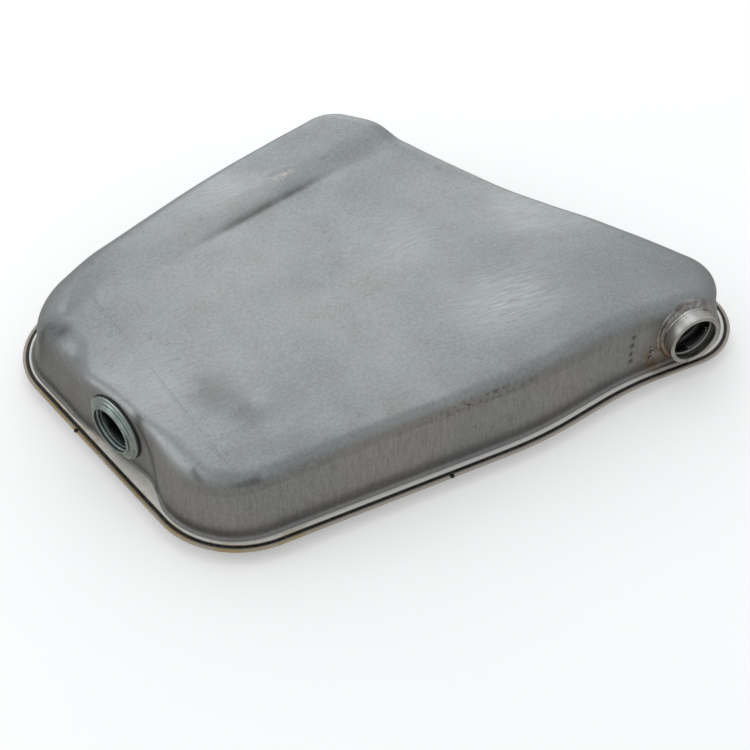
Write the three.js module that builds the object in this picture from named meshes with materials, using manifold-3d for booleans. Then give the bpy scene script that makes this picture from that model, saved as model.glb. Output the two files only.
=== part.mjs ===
// Fuel tank for a moped or small motorcycle: a deep pressed-steel upper shell and a
// shallow lower shell, joined by a seam weld all the way round a narrow flange. A short
// welded neck leaves the long near side close to the right corner, and a plated bayonet
// port sits in a flat seat pressed into the left end.
// Millimetres, +X along the long near side, +Y towards the back, +Z up.

import * as THREE from "three";
import { mergeVertices } from "three/addons/utils/BufferGeometryUtils.js";
import Module from "manifold-3d";

const wasm = await Module();
wasm.setup();

// ---------------------------------------------------------------- driving dimensions

const SHEET = 1.2; // thickness of both pressings
const SEAM_GAP = 0.1; // half the hairline between the two flanges

// Plan of the flange's outer edge: corners in order, each with its rounding radius.
const PLAN = [
  { name: "near_left", x: -46.5, y: -2, r: 73 },
  { name: "jog_start", x: 230, y: 2.2, r: 340 },
  { name: "jog_end", x: 322, y: 20.6, r: 300 },
  { name: "right", x: 482.5, y: 20.6, r: 53 },
  { name: "back", x: 236, y: 411, r: 50 },
  { name: "left_back", x: -116, y: 289, r: 70 },
];

// Flange section, measured inwards from its outer edge.
const LIP = 2.0; // flat lip outside the weld
const BAND_END = 5.2; // inner side of the weld groove
const GROOVE = 0.45; // depth of the weld groove
const LAND_RISE = 0.4; // the land inside the groove stands this much higher
const FILLET = 3.5; // bend between land and wall
const SEAT_FILLET = 1.8; // the same bend below the port seat

// Wall of the upper shell along the outline. Each key lies a share of the way from a plan
// corner to the next one; share 0 is the middle of the corner's rounding. It gives the
// shoulder radius, how far the wall leans in, and the width of the land.
const WALL_KEYS = [
  { corner: "near_left", share: 0, shoulder: 13, lean: 4, land: 1.6 },
  { corner: "near_left", share: 0.2, shoulder: 11, lean: 4, land: 2.8 },
  { corner: "near_left", share: 0.75, shoulder: 10, lean: 4, land: 2.8 },
  { corner: "jog_start", share: 0.7, shoulder: 13, lean: 5, land: 2.6 },
  { corner: "jog_end", share: 0.4, shoulder: 12, lean: 5, land: 2.2 },
  { corner: "right", share: 0, shoulder: 20, lean: 6, land: 1.8 },
  { corner: "right", share: 0.4, shoulder: 20, lean: 5, land: 1.5 },
  { corner: "right", share: 0.75, shoulder: 20, lean: 5, land: 1.5 },
  { corner: "back", share: 0, shoulder: 22, lean: 5, land: 1.5 },
  { corner: "back", share: 0.4, shoulder: 20, lean: 5, land: 1.5 },
  { corner: "left_back", share: 0, shoulder: 28, lean: 5, land: 1.2 },
  { corner: "left_back", share: 0.25, shoulder: 24, lean: 5, land: 0.8 },
  { corner: "left_back", share: 0.8, shoulder: 20, lean: 5, land: 0.8 },
];

// Top of the upper shell, heights above the seam plane.
const CROWN = { x: 170, z: 65, span: 200, leftDrop: 6, rightDrop: 7.5 };
const DISH = { x: 22, y: 88, depth: 2.4, spread: 30 };
const ROLL_FOOT = { a: { x: 20, y: 250 }, b: { x: 200, y: 300 } }; // line of the raised roll's foot
const ROLL = { rise: 26, valleyDepth: 1, valleyWidth: 9 }; // from its foot back to its crest
const ROLL_HEIGHTS = [
  { x: -90, z: -11 },
  { x: -10, z: 3 },
  { x: 100, z: 5 },
  { x: 200, z: 5 },
  { x: 260, z: 4 },
];
const CORNER_LIFT = { x: 258, y: 345, height: 10, spread: 32 }; // the roll ends in a high corner
const SLANT_DIP = { x: 340, y: 240, depth: 8, spread: 70 }; // low spot along the slanted side
const TOP_CENTRE = { x: 165, y: 175 };
const TOP_RINGS = [0.06, 0.12, 0.19, 0.32, 0.5, 0.75];

// Flat seat for the port in the left end. It is turned a little towards the near side:
// its inset grows by skew for each millimetre along the edge.
const SEAT = { y: 126, half: 29, fade: 42, inset: 14, skew: 0.11, shoulder: 8, boss: 8 };

// Lower shell.
const PAN = { depth: 12, shoulder: 7, lean: 5, land: 2.0 };

// Port in the left end: radii and distances out from the seat.
const PORT = {
  z: 32.2,
  gasket: { inner: 20, outer: 27.6, from: 0.35, to: 1.1 },
  flange: { r: 27, step: 24, collar: 20.6, bore: 18.6, from: 1.3, face: 3, stepTo: 3.9, rim: 6.7 },
  groove: { from: 3.2, to: 4.7, depth: 0.7, slope: 0.3 }, // round the flange's bore
  sleeve: { inner: 16.4, outer: 18.2, from: -5, to: 1.6 },
  clamp: { inner: 18.8, outer: 25, from: -6.2, to: -1.6 },
  lug: { inner: 14.4, outer: 16.1, from: -1.6, to: 0.4, start: 3.6, sweep: 0.75 },
  hole: 19.5,
};

// Neck in the near side.
const NECK = {
  x: 376,
  z: 28.4,
  face: 21.4, // plan y of the machined face
  boss: 1.5, // the top is drawn up a little behind the neck
  length: 30,
  outer: 22.6,
  bore: 19,
  hole: 23,
  groove: { from: -8, to: -5.2, depth: 1.2, slope: 0.7 }, // round the bore
  deep: { at: -16, depth: 1 }, // the bore is wider from here inwards
  lug: { inner: 17.2, outer: 18.6, from: -15.8, to: -9, start: 3.25, sweep: 1.35 },
  stop: { inner: 16.8, outer: 19.6, from: -26, to: -24 },
};

const CHAMFER = 0.5; // broken edges of the turned pieces

// Weld round the neck: sections as [radius, height above the wall], and drops beside it.
const WELD_INNER = [[23.1, 0.6], [25.9, 0.6], [26.1, 1.6], [25.3, 3.1], [23.9, 3.6], [23.1, 3.1]];
const WELD_OUTER = [[26.7, 0.6], [29.2, 0.6], [29.1, 1.3], [28.2, 2.0], [27.0, 1.9]];
const WELD_OUTER_ARC = { start: -0.35, sweep: 3.84 };
const SPATTER = [
  { x: -31.5, z: -9, r: 1.7 },
  { x: -33.2, z: -14, r: 1.3 },
  { x: -32.6, z: -5, r: 1.1 },
];
const CLEAR = 0.35; // gap between a weld drop and the wall

// Seam weld: heights of its track above the groove's floor, and the drops at the edge.
const TRACK = { low: 0.06, high: 0.3, side: 0.25 };
const SEAM_DROP = { r: 1.3, half: 1.5, out: 1.6, z: 0.2 };

// Spacing of the outline's stations on its straight runs.
const STEPS = { fine: 11, coarse: 36, nearLift: 75 };

// ---------------------------------------------------------------- small helpers

const clamp = (v, lo, hi) => Math.min(hi, Math.max(lo, v));
const smooth = (v) => {
  const t = clamp(v, 0, 1);
  return t * t * (3 - 2 * t);
};
const bell = (d, width) => Math.exp(-((d / width) ** 2));

// Piecewise smooth reading of a list of {x, z} pairs.
function along(list, x) {
  if (x <= list[0].x) return list[0].z;
  for (let i = 1; i < list.length; i++) {
    if (x <= list[i].x) {
      const t = smooth((x - list[i - 1].x) / (list[i].x - list[i - 1].x));
      return list[i - 1].z + t * (list[i].z - list[i - 1].z);
    }
  }
  return list[list.length - 1].z;
}

// Signed distance of (x, y) to the left of the line from plan corner a to plan corner b.
function inside(a, b, x, y) {
  const ux = b.x - a.x;
  const uy = b.y - a.y;
  const len = Math.hypot(ux, uy);
  return (ux * (y - a.y) - uy * (x - a.x)) / len;
}

// ---------------------------------------------------------------- plan outline

// Outline stations counter-clockwise, each with its inward unit normal.
function outline() {
  const n = PLAN.length;
  const arcs = PLAN.map((c, i) => {
    const a = PLAN[(i + n - 1) % n];
    const b = PLAN[(i + 1) % n];
    const inDir = Math.atan2(c.y - a.y, c.x - a.x);
    const outDir = Math.atan2(b.y - c.y, b.x - c.x);
    let turn = outDir - inDir;
    while (turn > Math.PI) turn -= 2 * Math.PI;
    while (turn < -Math.PI) turn += 2 * Math.PI;
    const tangent = c.r * Math.tan(Math.abs(turn) / 2);
    const side = Math.sign(turn);
    const start = { x: c.x - tangent * Math.cos(inDir), y: c.y - tangent * Math.sin(inDir) };
    const centre = {
      x: start.x - side * c.r * Math.sin(inDir),
      y: start.y + side * c.r * Math.cos(inDir),
    };
    return { inDir, turn, side, centre, r: c.r };
  });
  const stations = [];
  arcs.forEach((arc) => {
    const sharp = Math.abs(arc.turn) > 0.5;
    const steps = sharp ? Math.ceil(Math.abs(arc.turn) / 0.24) : 3;
    for (let k = 0; k <= steps; k++) {
      const dir = arc.inDir + (arc.turn * k) / steps;
      stations.push({
        x: arc.centre.x + arc.side * arc.r * Math.sin(dir),
        y: arc.centre.y - arc.side * arc.r * Math.cos(dir),
        nx: -Math.sin(dir),
        ny: Math.cos(dir),
      });
    }
  });
  // Straight runs are divided too.
  const filled = [];
  stations.forEach((s, i) => {
    filled.push(s);
    const e = stations[(i + 1) % stations.length];
    const gap = Math.hypot(e.x - s.x, e.y - s.y);
    const at = (t) => ({ x: s.x + (e.x - s.x) * t, y: s.y + (e.y - s.y) * t, nx: s.nx, ny: s.ny });
    let done = 0;
    for (;;) {
      const step = stepAt(at(done / gap));
      if (done + step * 1.4 > gap) break;
      done += step;
      filled.push(at(done / gap));
    }
  });
  return filled;
}

// Spacing of the stations on a straight run: fine at the port seat and at the high corner.
function stepAt(p) {
  const fromSeat = Math.abs(p.y - SEAT.y) - SEAT.half - SEAT.fade;
  if (p.x < 0 && fromSeat < 15) return STEPS.fine;
  const fromLift = Math.hypot(p.x - CORNER_LIFT.x, p.y - CORNER_LIFT.y);
  return fromLift < STEPS.nearLift ? STEPS.fine : STEPS.coarse;
}

const STATIONS = outline();

// Length along the outline at each station, for reading the wall keys.
const RUN = [0];
STATIONS.forEach((s, i) => {
  const e = STATIONS[(i + 1) % STATIONS.length];
  RUN.push(RUN[i] + Math.hypot(e.x - s.x, e.y - s.y));
});
const GIRTH = RUN[STATIONS.length];

// Point a share of the way from a plan corner to the next one.
function planPlace(corner, share) {
  const i = PLAN.findIndex((c) => c.name === corner);
  const a = PLAN[i];
  const b = PLAN[(i + 1) % PLAN.length];
  return { x: a.x + (b.x - a.x) * share, y: a.y + (b.y - a.y) * share };
}

// Length along the outline of its point nearest to (x, y).
function runNear(x, y) {
  let best = 0;
  let least = Infinity;
  STATIONS.forEach((s, i) => {
    const e = STATIONS[(i + 1) % STATIONS.length];
    const ux = e.x - s.x;
    const uy = e.y - s.y;
    const t = clamp(((x - s.x) * ux + (y - s.y) * uy) / (ux * ux + uy * uy), 0, 1);
    const d = Math.hypot(x - s.x - ux * t, y - s.y - uy * t);
    if (d < least) {
      least = d;
      best = RUN[i] + (RUN[i + 1] - RUN[i]) * t;
    }
  });
  return best;
}

const KEYS = WALL_KEYS.map((key) => {
  const place = planPlace(key.corner, key.share);
  return { ...key, run: runNear(place.x, place.y) };
}).sort((a, b) => a.run - b.run);

// Line of the left end, on which the port seat lies.
const LEFT_A = PLAN[5];
const LEFT_B = PLAN[0];
const leftDir = Math.atan2(LEFT_B.y - LEFT_A.y, LEFT_B.x - LEFT_A.x);
const SEAT_IN = { x: -Math.sin(leftDir), y: Math.cos(leftDir) };
const seatT = (SEAT.y - LEFT_A.y) / (LEFT_B.y - LEFT_A.y);
const SEAT_EDGE = { x: LEFT_A.x + (LEFT_B.x - LEFT_A.x) * seatT, y: SEAT.y };

// Inset of the seat's plane at a station, measured along the edge towards the near side.
function seatInset(s) {
  const along = (s.x - SEAT_EDGE.x) * Math.cos(leftDir) + (s.y - SEAT_EDGE.y) * Math.sin(leftDir);
  return SEAT.inset + SEAT.skew * along;
}

// How much of the seat is felt at a station: 1 over the seat, 0 beyond its fade.
function seatShare(s) {
  const d = Math.hypot(s.x - SEAT_EDGE.x, s.y - SEAT_EDGE.y);
  return 1 - smooth((d - SEAT.half) / SEAT.fade);
}

function wallAt(i) {
  const run = RUN[i];
  let k = KEYS.findIndex((key) => key.run > run);
  if (k < 0) k = 0;
  const b = KEYS[k];
  const a = KEYS[(k + KEYS.length - 1) % KEYS.length];
  const span = (b.run - a.run + GIRTH) % GIRTH;
  const t = smooth(((run - a.run + GIRTH) % GIRTH) / span);
  const mix = (name) => a[name] + (b[name] - a[name]) * t;
  const share = seatShare(STATIONS[i]);
  const base = BAND_END + mix("land") + FILLET;
  return {
    fillet: FILLET + share * (SEAT_FILLET - FILLET),
    base: base + share * (seatInset(STATIONS[i]) - base),
    lean: mix("lean") * (1 - share),
    shoulder: mix("shoulder") + share * (SEAT.shoulder - mix("shoulder")),
  };
}

// ---------------------------------------------------------------- top surface

function topHeight(x, y) {
  const off = (x - CROWN.x) / CROWN.span;
  const drop = x < CROWN.x ? CROWN.leftDrop : CROWN.rightDrop;
  let z = CROWN.z - drop * off * off;
  const fromSlant = inside(PLAN[3], PLAN[4], x, y);
  z -= 1 - smooth((fromSlant - 25) / 60);
  z -= SLANT_DIP.depth * bell(Math.hypot(x - SLANT_DIP.x, y - SLANT_DIP.y), SLANT_DIP.spread);
  z += CORNER_LIFT.height * bell(Math.hypot(x - CORNER_LIFT.x, y - CORNER_LIFT.y), CORNER_LIFT.spread);
  z -= DISH.depth * bell(Math.hypot(x - DISH.x, y - DISH.y), DISH.spread);
  const behind = inside(ROLL_FOOT.a, ROLL_FOOT.b, x, y);
  z += along(ROLL_HEIGHTS, x) * smooth(behind / ROLL.rise);
  z -= ROLL.valleyDepth * bell(behind, ROLL.valleyWidth);
  z += SEAT.boss * bell(Math.hypot(x - SEAT_EDGE.x, y - SEAT_EDGE.y), 40);
  z += NECK.boss * bell(Math.hypot(x - NECK.x, y - NECK.face), 45);
  return z;
}

// ---------------------------------------------------------------- wall sections

// Section of the upper shell's outer face at station i: [inset, height] pairs from the
// edge of the flange to the inner end of the shoulder, with the section's normals.
function upperSection(i) {
  const w = wallAt(i);
  const s = STATIONS[i];
  const landZ = SHEET + LAND_RISE;
  const endInset = w.base + w.lean + w.shoulder;
  const topZ = topHeight(s.x + s.nx * endInset, s.y + s.ny * endInset);
  const pts = [];
  const add = (d, z, nd, nz) => pts.push({ d, z, nd, nz });
  add(BAND_END + 0.3, landZ, 0, 1);
  const arcs = 3;
  for (let k = 0; k <= arcs; k++) {
    const a = (Math.PI / 2) * (k / arcs);
    const d = w.base - w.fillet * (1 - Math.sin(a));
    add(d, landZ + w.fillet * (1 - Math.cos(a)), -Math.sin(a), Math.cos(a));
  }
  const low = landZ + w.fillet;
  const high = topZ - w.shoulder;
  add(w.base + w.lean / 2, (low + high) / 2, -1, 0);
  const steps = 5;
  for (let k = 0; k <= steps; k++) {
    const a = (Math.PI / 2) * (k / steps);
    add(
      w.base + w.lean + w.shoulder * (1 - Math.cos(a)),
      topZ - w.shoulder + w.shoulder * Math.sin(a),
      -Math.cos(a),
      Math.sin(a),
    );
  }
  return pts;
}

// Section of the lower shell's outer face: heights are below the seam plane.
function lowerSection() {
  const landZ = SHEET + LAND_RISE;
  const base = BAND_END + PAN.land + 2;
  const pts = [];
  const add = (d, z, nd, nz) => pts.push({ d, z, nd, nz });
  add(BAND_END + 0.3, landZ, 0, 1);
  for (let k = 0; k <= 1; k++) {
    const a = (Math.PI / 3) * k;
    add(base - 2 + 2 * Math.sin(a), landZ + 2 * (1 - Math.cos(a)), -Math.sin(a), Math.cos(a));
  }
  const steps = 3;
  const r = PAN.shoulder;
  for (let k = 0; k <= steps; k++) {
    const a = Math.PI / 6 + (Math.PI / 3) * (k / steps);
    const d = base + PAN.lean + r * (1 - Math.cos(a));
    add(d, PAN.depth - r + r * Math.sin(a), -Math.cos(a), Math.sin(a));
  }
  return pts;
}

// ---------------------------------------------------------------- mesh builders

// Closed surface over a list of rings with the same number of points. The first and the
// last ring are closed by a fan to a centre point, or the last ring joins the first.
function loft(rings, centres) {
  const n = rings[0].length;
  const pos = rings.flat().flat();
  const index = [];
  const quads = (a, b) => {
    for (let j = 0; j < n; j++) {
      const k = (j + 1) % n;
      index.push(a * n + j, a * n + k, b * n + k);
      index.push(a * n + j, b * n + k, b * n + j);
    }
  };
  for (let i = 0; i + 1 < rings.length; i++) quads(i, i + 1);
  if (centres) {
    const first = pos.length / 3;
    pos.push(...centres[0], ...centres[1]);
    const last = (rings.length - 1) * n;
    for (let j = 0; j < n; j++) {
      const k = (j + 1) % n;
      index.push(first, k, j);
      index.push(first + 1, last + j, last + k);
    }
  } else {
    quads(rings.length - 1, 0);
  }
  return faceOut(bufferGeometry(pos, index));
}

function bufferGeometry(pos, index) {
  const g = new THREE.BufferGeometry();
  g.setAttribute("position", new THREE.Float32BufferAttribute(pos, 3));
  g.setIndex(index);
  return g;
}

// Turns the faces round if the solid is inside out.
function faceOut(g) {
  const p = g.getAttribute("position");
  const idx = g.index.array;
  const a = new THREE.Vector3();
  const b = new THREE.Vector3();
  const c = new THREE.Vector3();
  let volume = 0;
  for (let i = 0; i < idx.length; i += 3) {
    a.fromBufferAttribute(p, idx[i]);
    b.fromBufferAttribute(p, idx[i + 1]);
    c.fromBufferAttribute(p, idx[i + 2]);
    volume += a.dot(b.cross(c));
  }
  if (volume < 0) {
    for (let i = 0; i < idx.length; i += 3) {
      [idx[i + 1], idx[i + 2]] = [idx[i + 2], idx[i + 1]];
    }
  }
  return g;
}

function toManifold(geometry) {
  const g = geometry.clone();
  g.deleteAttribute("normal");
  g.deleteAttribute("uv");
  const merged = mergeVertices(g, 1e-4);
  return new wasm.Manifold(
    new wasm.Mesh({
      numProp: 3,
      vertProperties: new Float32Array(merged.attributes.position.array),
      triVerts: new Uint32Array(merged.index.array),
    }),
  );
}

function fromManifold(solid) {
  const m = solid.getMesh();
  return bufferGeometry(Array.from(m.vertProperties), Array.from(m.triVerts));
}

// Lathe about a line through `at` along unit vector `axis`; profile is [radius, distance].
function turned(profile, at, axis, segments) {
  const pts = profile.map(([r, a]) => new THREE.Vector2(r, a));
  pts.push(pts[0].clone());
  const g = new THREE.LatheGeometry(pts, segments);
  g.deleteAttribute("normal");
  g.deleteAttribute("uv");
  const turn = new THREE.Quaternion().setFromUnitVectors(new THREE.Vector3(0, 1, 0), axis);
  g.applyQuaternion(turn);
  g.translate(at.x, at.y, at.z);
  return faceOut(mergeVertices(g, 1e-4));
}

// Arc-shaped bar about a line: part of a turned ring between two angles.
function turnedArc(inner, outer, from, to, start, sweep, at, axis) {
  const steps = 8;
  const rings = [];
  for (let k = 0; k <= steps; k++) {
    const a = start + (sweep * k) / steps;
    const corner = (r, h) => [r * Math.sin(a), h, r * Math.cos(a)];
    rings.push([corner(inner, from), corner(outer, from), corner(outer, to), corner(inner, to)]);
  }
  const g = loft(rings, [middleOf(rings[0]), middleOf(rings[steps])]);
  const turn = new THREE.Quaternion().setFromUnitVectors(new THREE.Vector3(0, 1, 0), axis);
  g.applyQuaternion(turn);
  g.translate(at.x, at.y, at.z);
  return g;
}

const middleOf = (ring) => [0, 1, 2].map((c) => ring.reduce((t, p) => t + p[c], 0) / ring.length);

// Ring of points along the outline at one inset and height.
const flatRing = (d, z) => STATIONS.map((s) => [s.x + s.nx * d, s.y + s.ny * d, z]);

// ---------------------------------------------------------------- pressings

function shellRings(sections, sign, thin) {
  const count = sections[0].length;
  const rings = [];
  for (let k = 0; k < count; k++) {
    rings.push(
      STATIONS.map((s, i) => {
        const p = sections[i][k];
        const d = p.d - p.nd * thin;
        const z = p.z - p.nz * thin;
        return [s.x + s.nx * d, s.y + s.ny * d, sign * z];
      }),
    );
  }
  return rings;
}

const SECTIONS = STATIONS.map((s, i) => upperSection(i));
const OUTER = shellRings(SECTIONS, 1, 0);

// Rings of the top face, from the shoulder inwards.
const COVER = TOP_RINGS.map((u) =>
  OUTER[OUTER.length - 1].map(([x, y]) => {
    const px = x + (TOP_CENTRE.x - x) * u;
    const py = y + (TOP_CENTRE.y - y) * u;
    return [px, py, topHeight(px, py)];
  }),
);

function upperShell() {
  const outer = OUTER;
  const inner = shellRings(SECTIONS, 1, SHEET);
  const cover = COVER;
  const under = cover.map((ring) => ring.map(([x, y, z]) => [x, y, z - SHEET]));
  const flange = [
    flatRing(BAND_END, SHEET - GROOVE),
    flatRing(LIP + 0.3, SHEET - GROOVE),
    flatRing(LIP, SHEET),
    flatRing(0, SHEET),
    flatRing(0, SEAM_GAP),
    flatRing(BAND_END, SEAM_GAP),
  ];
  const rings = [
    ...cover.slice().reverse(),
    ...outer.slice().reverse(),
    ...flange,
    ...inner,
    ...under,
  ];
  const c = TOP_CENTRE;
  const z = topHeight(c.x, c.y);
  const whole = toManifold(loft(rings, [[c.x, c.y, z], [c.x, c.y, z - SHEET]]));
  const neckHole = turned([[0, -60], [NECK.hole, -60], [NECK.hole, 30], [0, 30]], neckAt(), NECK_AXIS, 40);
  const portHole = turned([[0, -30], [PORT.hole, -30], [PORT.hole, 30], [0, 30]], portAt(), PORT_AXIS, 40);
  return fromManifold(whole.subtract(toManifold(neckHole)).subtract(toManifold(portHole)));
}

// The upper shell's outer form as a block without its hollow, used to trim the welds.
function upperBlock() {
  const c = TOP_CENTRE;
  const rings = [...COVER.slice().reverse(), ...OUTER.slice().reverse(), flatRing(0, SHEET), flatRing(0, 0)];
  return toManifold(loft(rings, [[c.x, c.y, topHeight(c.x, c.y)], [c.x, c.y, 0]]));
}

// The largest piece of a weld that stands clear of the wall.
function clearOfWall(geometry) {
  const cut = toManifold(geometry).subtract(upperBlock().translate([0, -0.3, 0.25]));
  const pieces = cut.decompose().sort((a, b) => b.volume() - a.volume());
  return fromManifold(pieces[0]);
}

function lowerShell() {
  const sections = STATIONS.map(() => lowerSection());
  const outer = shellRings(sections, -1, 0);
  const inner = shellRings(sections, -1, SHEET);
  const flange = [
    flatRing(BAND_END, -(SHEET - GROOVE)),
    flatRing(LIP + 0.3, -(SHEET - GROOVE)),
    flatRing(LIP, -SHEET),
    flatRing(0, -SHEET),
    flatRing(0, -SEAM_GAP),
    flatRing(BAND_END, -SEAM_GAP),
  ];
  const rings = [...outer.slice().reverse(), ...flange, ...inner];
  const c = TOP_CENTRE;
  return loft(rings, [[c.x, c.y, -PAN.depth], [c.x, c.y, -(PAN.depth - SHEET)]]);
}

// Seam-weld track lying in the groove of one flange.
function seamTrack(sign) {
  const lo = sign * (SHEET - GROOVE + TRACK.low);
  const hi = sign * (SHEET - GROOVE + TRACK.high);
  const a = LIP + 2 * TRACK.side;
  const b = BAND_END - TRACK.side;
  return loft([flatRing(a, lo), flatRing(b, lo), flatRing(b, hi), flatRing(a, hi)], null);
}

// Ball stretched to three half sizes, about a point.
function ball(half, at) {
  const g = new THREE.SphereGeometry(1, 10, 8);
  g.deleteAttribute("normal");
  g.deleteAttribute("uv");
  g.scale(...half);
  g.translate(...at);
  return faceOut(mergeVertices(g, 1e-4));
}

// Bead of metal squeezed out over the edge of the flange near plan point (x, y).
function edgeBead(x, y) {
  let best = STATIONS[0];
  STATIONS.forEach((s) => {
    if (Math.hypot(s.x - x, s.y - y) < Math.hypot(best.x - x, best.y - y)) best = s;
  });
  const d = SEAM_DROP;
  const at = [best.x - best.nx * d.out, best.y - best.ny * d.out, d.z];
  return ball([d.r, d.r, d.half], at);
}

// ---------------------------------------------------------------- port and neck

const PORT_AXIS = new THREE.Vector3(
  -SEAT_IN.x + SEAT.skew * Math.cos(leftDir),
  -SEAT_IN.y + SEAT.skew * Math.sin(leftDir),
  0,
).normalize();
const NECK_AXIS = new THREE.Vector3(0, -1, 0);

// Middle of the seat, on the outer face of the wall.
function portAt() {
  return new THREE.Vector3(
    SEAT_EDGE.x + SEAT_IN.x * SEAT.inset,
    SEAT_EDGE.y + SEAT_IN.y * SEAT.inset,
    PORT.z,
  );
}

// Middle of the neck's machined face.
function neckAt() {
  return new THREE.Vector3(NECK.x, NECK.face, NECK.z);
}

// Plan y of the near wall's outer face at (x, z), read from the sections near the neck.
const NEAR = STATIONS.map((s, i) => ({ ...s, i })).filter((s) => s.x > 300 && s.y < 70 && s.ny > 0.3);
const NEAR_SECTIONS = NEAR.map((s) => upperSection(s.i));

function insetAt(section, z) {
  for (let k = 1; k < section.length; k++) {
    if (z <= section[k].z) {
      const t = (z - section[k - 1].z) / (section[k].z - section[k - 1].z);
      return section[k - 1].d + (section[k].d - section[k - 1].d) * clamp(t, 0, 1);
    }
  }
  return section[section.length - 1].d;
}

function nearWallY(x, z) {
  const line = NEAR.map((s, j) => {
    const d = insetAt(NEAR_SECTIONS[j], z);
    return [s.x + s.nx * d, s.y + s.ny * d];
  });
  for (let k = 1; k < line.length; k++) {
    if (x <= line[k][0]) {
      const t = (x - line[k - 1][0]) / (line[k][0] - line[k - 1][0]);
      return line[k - 1][1] + (line[k][1] - line[k - 1][1]) * t;
    }
  }
  return line[line.length - 1][1];
}

// Weld bead round the neck, following the wall from angle start over sweep: the section
// is a list of [radius, height above the wall] pairs. A full turn closes on itself.
function neckBead(section, start, sweep, steps) {
  const full = sweep > 6.28;
  const rings = [];
  for (let k = 0; k < steps + (full ? 0 : 1); k++) {
    const a = start + (sweep * k) / steps;
    rings.push(
      section.map(([r, h]) => {
        const x = NECK.x + r * Math.cos(a);
        const z = Math.max(NECK.z + r * Math.sin(a), SHEET + LAND_RISE + 0.4);
        return [x, nearWallY(x, z) - h, z];
      }),
    );
  }
  if (full) return clearOfWall(loft(rings, null));
  return clearOfWall(loft(rings, [middleOf(rings[0]), middleOf(rings[rings.length - 1])]));
}

// ---------------------------------------------------------------- materials

function steel(color, roughness, metalness) {
  return new THREE.MeshStandardMaterial({ color, roughness, metalness });
}

const RAW_STEEL = steel(0x868a8a, 0.42, 0.95);
const SEAM_STEEL = steel(0x2b2d2d, 0.6, 0.8);
const MACHINED = steel(0xc9c6b8, 0.32, 1.0);
const WELD = steel(0x8a857b, 0.45, 0.9);
const PLATED = steel(0x96a3a0, 0.35, 1.0);
const RUBBER = steel(0x151515, 0.8, 0.0);

// ---------------------------------------------------------------- assembly

const tank = new THREE.Group();

function put(name, geometry, material) {
  const mesh = new THREE.Mesh(geometry, material);
  mesh.name = name;
  tank.add(mesh);
}

put("upper_shell", upperShell(), RAW_STEEL);
put("lower_shell", lowerShell(), RAW_STEEL);
put("seam_weld_upper", seamTrack(1), SEAM_STEEL);
put("seam_weld_lower", seamTrack(-1), SEAM_STEEL);
put("seam_bead_left", edgeBead(-88, 168), SEAM_STEEL);
put("seam_bead_near", edgeBead(150, 1), SEAM_STEEL);

const ring = ({ inner, outer, from, to }) => [[inner, from], [outer, from], [outer, to], [inner, to]];

function portFlange() {
  const { r, step, collar, bore, from, face, stepTo, rim } = PORT.flange;
  const c = CHAMFER;
  const g = PORT.groove;
  return [
    [bore, from],
    [r - c, from],
    [r, from + c],
    [r, face - c],
    [r - c, face],
    [step, face],
    [step - c, stepTo],
    [collar + 2 * c, stepTo],
    [collar, stepTo + 2 * c],
    [collar, rim - c],
    [collar - c, rim],
    [bore + c, rim],
    [bore, rim - c],
    [bore, g.to],
    [bore + g.depth, g.to - g.slope],
    [bore + g.depth, g.from + g.slope],
    [bore, g.from],
  ];
}

function portSleeve() {
  const { inner, outer, from, to } = PORT.sleeve;
  return [[inner, from], [outer, from], [outer, to - CHAMFER], [outer - CHAMFER, to], [inner, to]];
}

function neckTube() {
  const { outer, bore, length, groove, deep } = NECK;
  const c = CHAMFER;
  return [
    [outer, -length],
    [outer, -c],
    [outer - c, 0],
    [bore + c, 0],
    [bore, -c],
    [bore, groove.to + groove.slope],
    [bore + groove.depth, groove.to],
    [bore + groove.depth, groove.from],
    [bore, groove.from - groove.slope],
    [bore, deep.at],
    [bore + deep.depth, deep.at - deep.depth],
    [bore + deep.depth, -length],
  ];
}

// Two lugs of one shape, opposite each other in a bore.
function lugPair(names, { inner, outer, from, to, start, sweep }, at, axis, material) {
  names.forEach((name, k) => {
    put(name, turnedArc(inner, outer, from, to, start - k * Math.PI, sweep, at, axis), material);
  });
}

put("port_gasket", turned(ring(PORT.gasket), portAt(), PORT_AXIS, 36), RUBBER);
put("port_flange", turned(portFlange(), portAt(), PORT_AXIS, 34), PLATED);
put("port_sleeve", turned(portSleeve(), portAt(), PORT_AXIS, 36), PLATED);
put("port_clamp_ring", turned(ring(PORT.clamp), portAt(), PORT_AXIS, 32), PLATED);
lugPair(["port_lug_lower", "port_lug_upper"], PORT.lug, portAt(), PORT_AXIS, PLATED);

put("neck_tube", turned(neckTube(), neckAt(), NECK_AXIS, 36), MACHINED);
put("neck_stop_ring", turned(ring(NECK.stop), neckAt(), NECK_AXIS, 40), MACHINED);
lugPair(["neck_lug_right", "neck_lug_left"], NECK.lug, neckAt(), NECK_AXIS, MACHINED);
put("neck_weld_inner", neckBead(WELD_INNER, 0, 2 * Math.PI, 40), WELD);
put("neck_weld_outer", neckBead(WELD_OUTER, WELD_OUTER_ARC.start, WELD_OUTER_ARC.sweep, 28), WELD);
SPATTER.forEach((drop, k) => {
  const x = NECK.x + drop.x;
  const z = NECK.z + drop.z;
  const at = [x, nearWallY(x, z) - drop.r - CLEAR, z];
  put("neck_spatter_" + (k + 1), ball([drop.r, drop.r, drop.r], at), WELD);
});

// The part's origin is at the bottom centre of its bounding box.
const box = new THREE.Box3().setFromObject(tank);
const middle = box.getCenter(new THREE.Vector3());
tank.position.set(-middle.x, -middle.y, -box.min.z);

export default tank;
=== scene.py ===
import math

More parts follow.
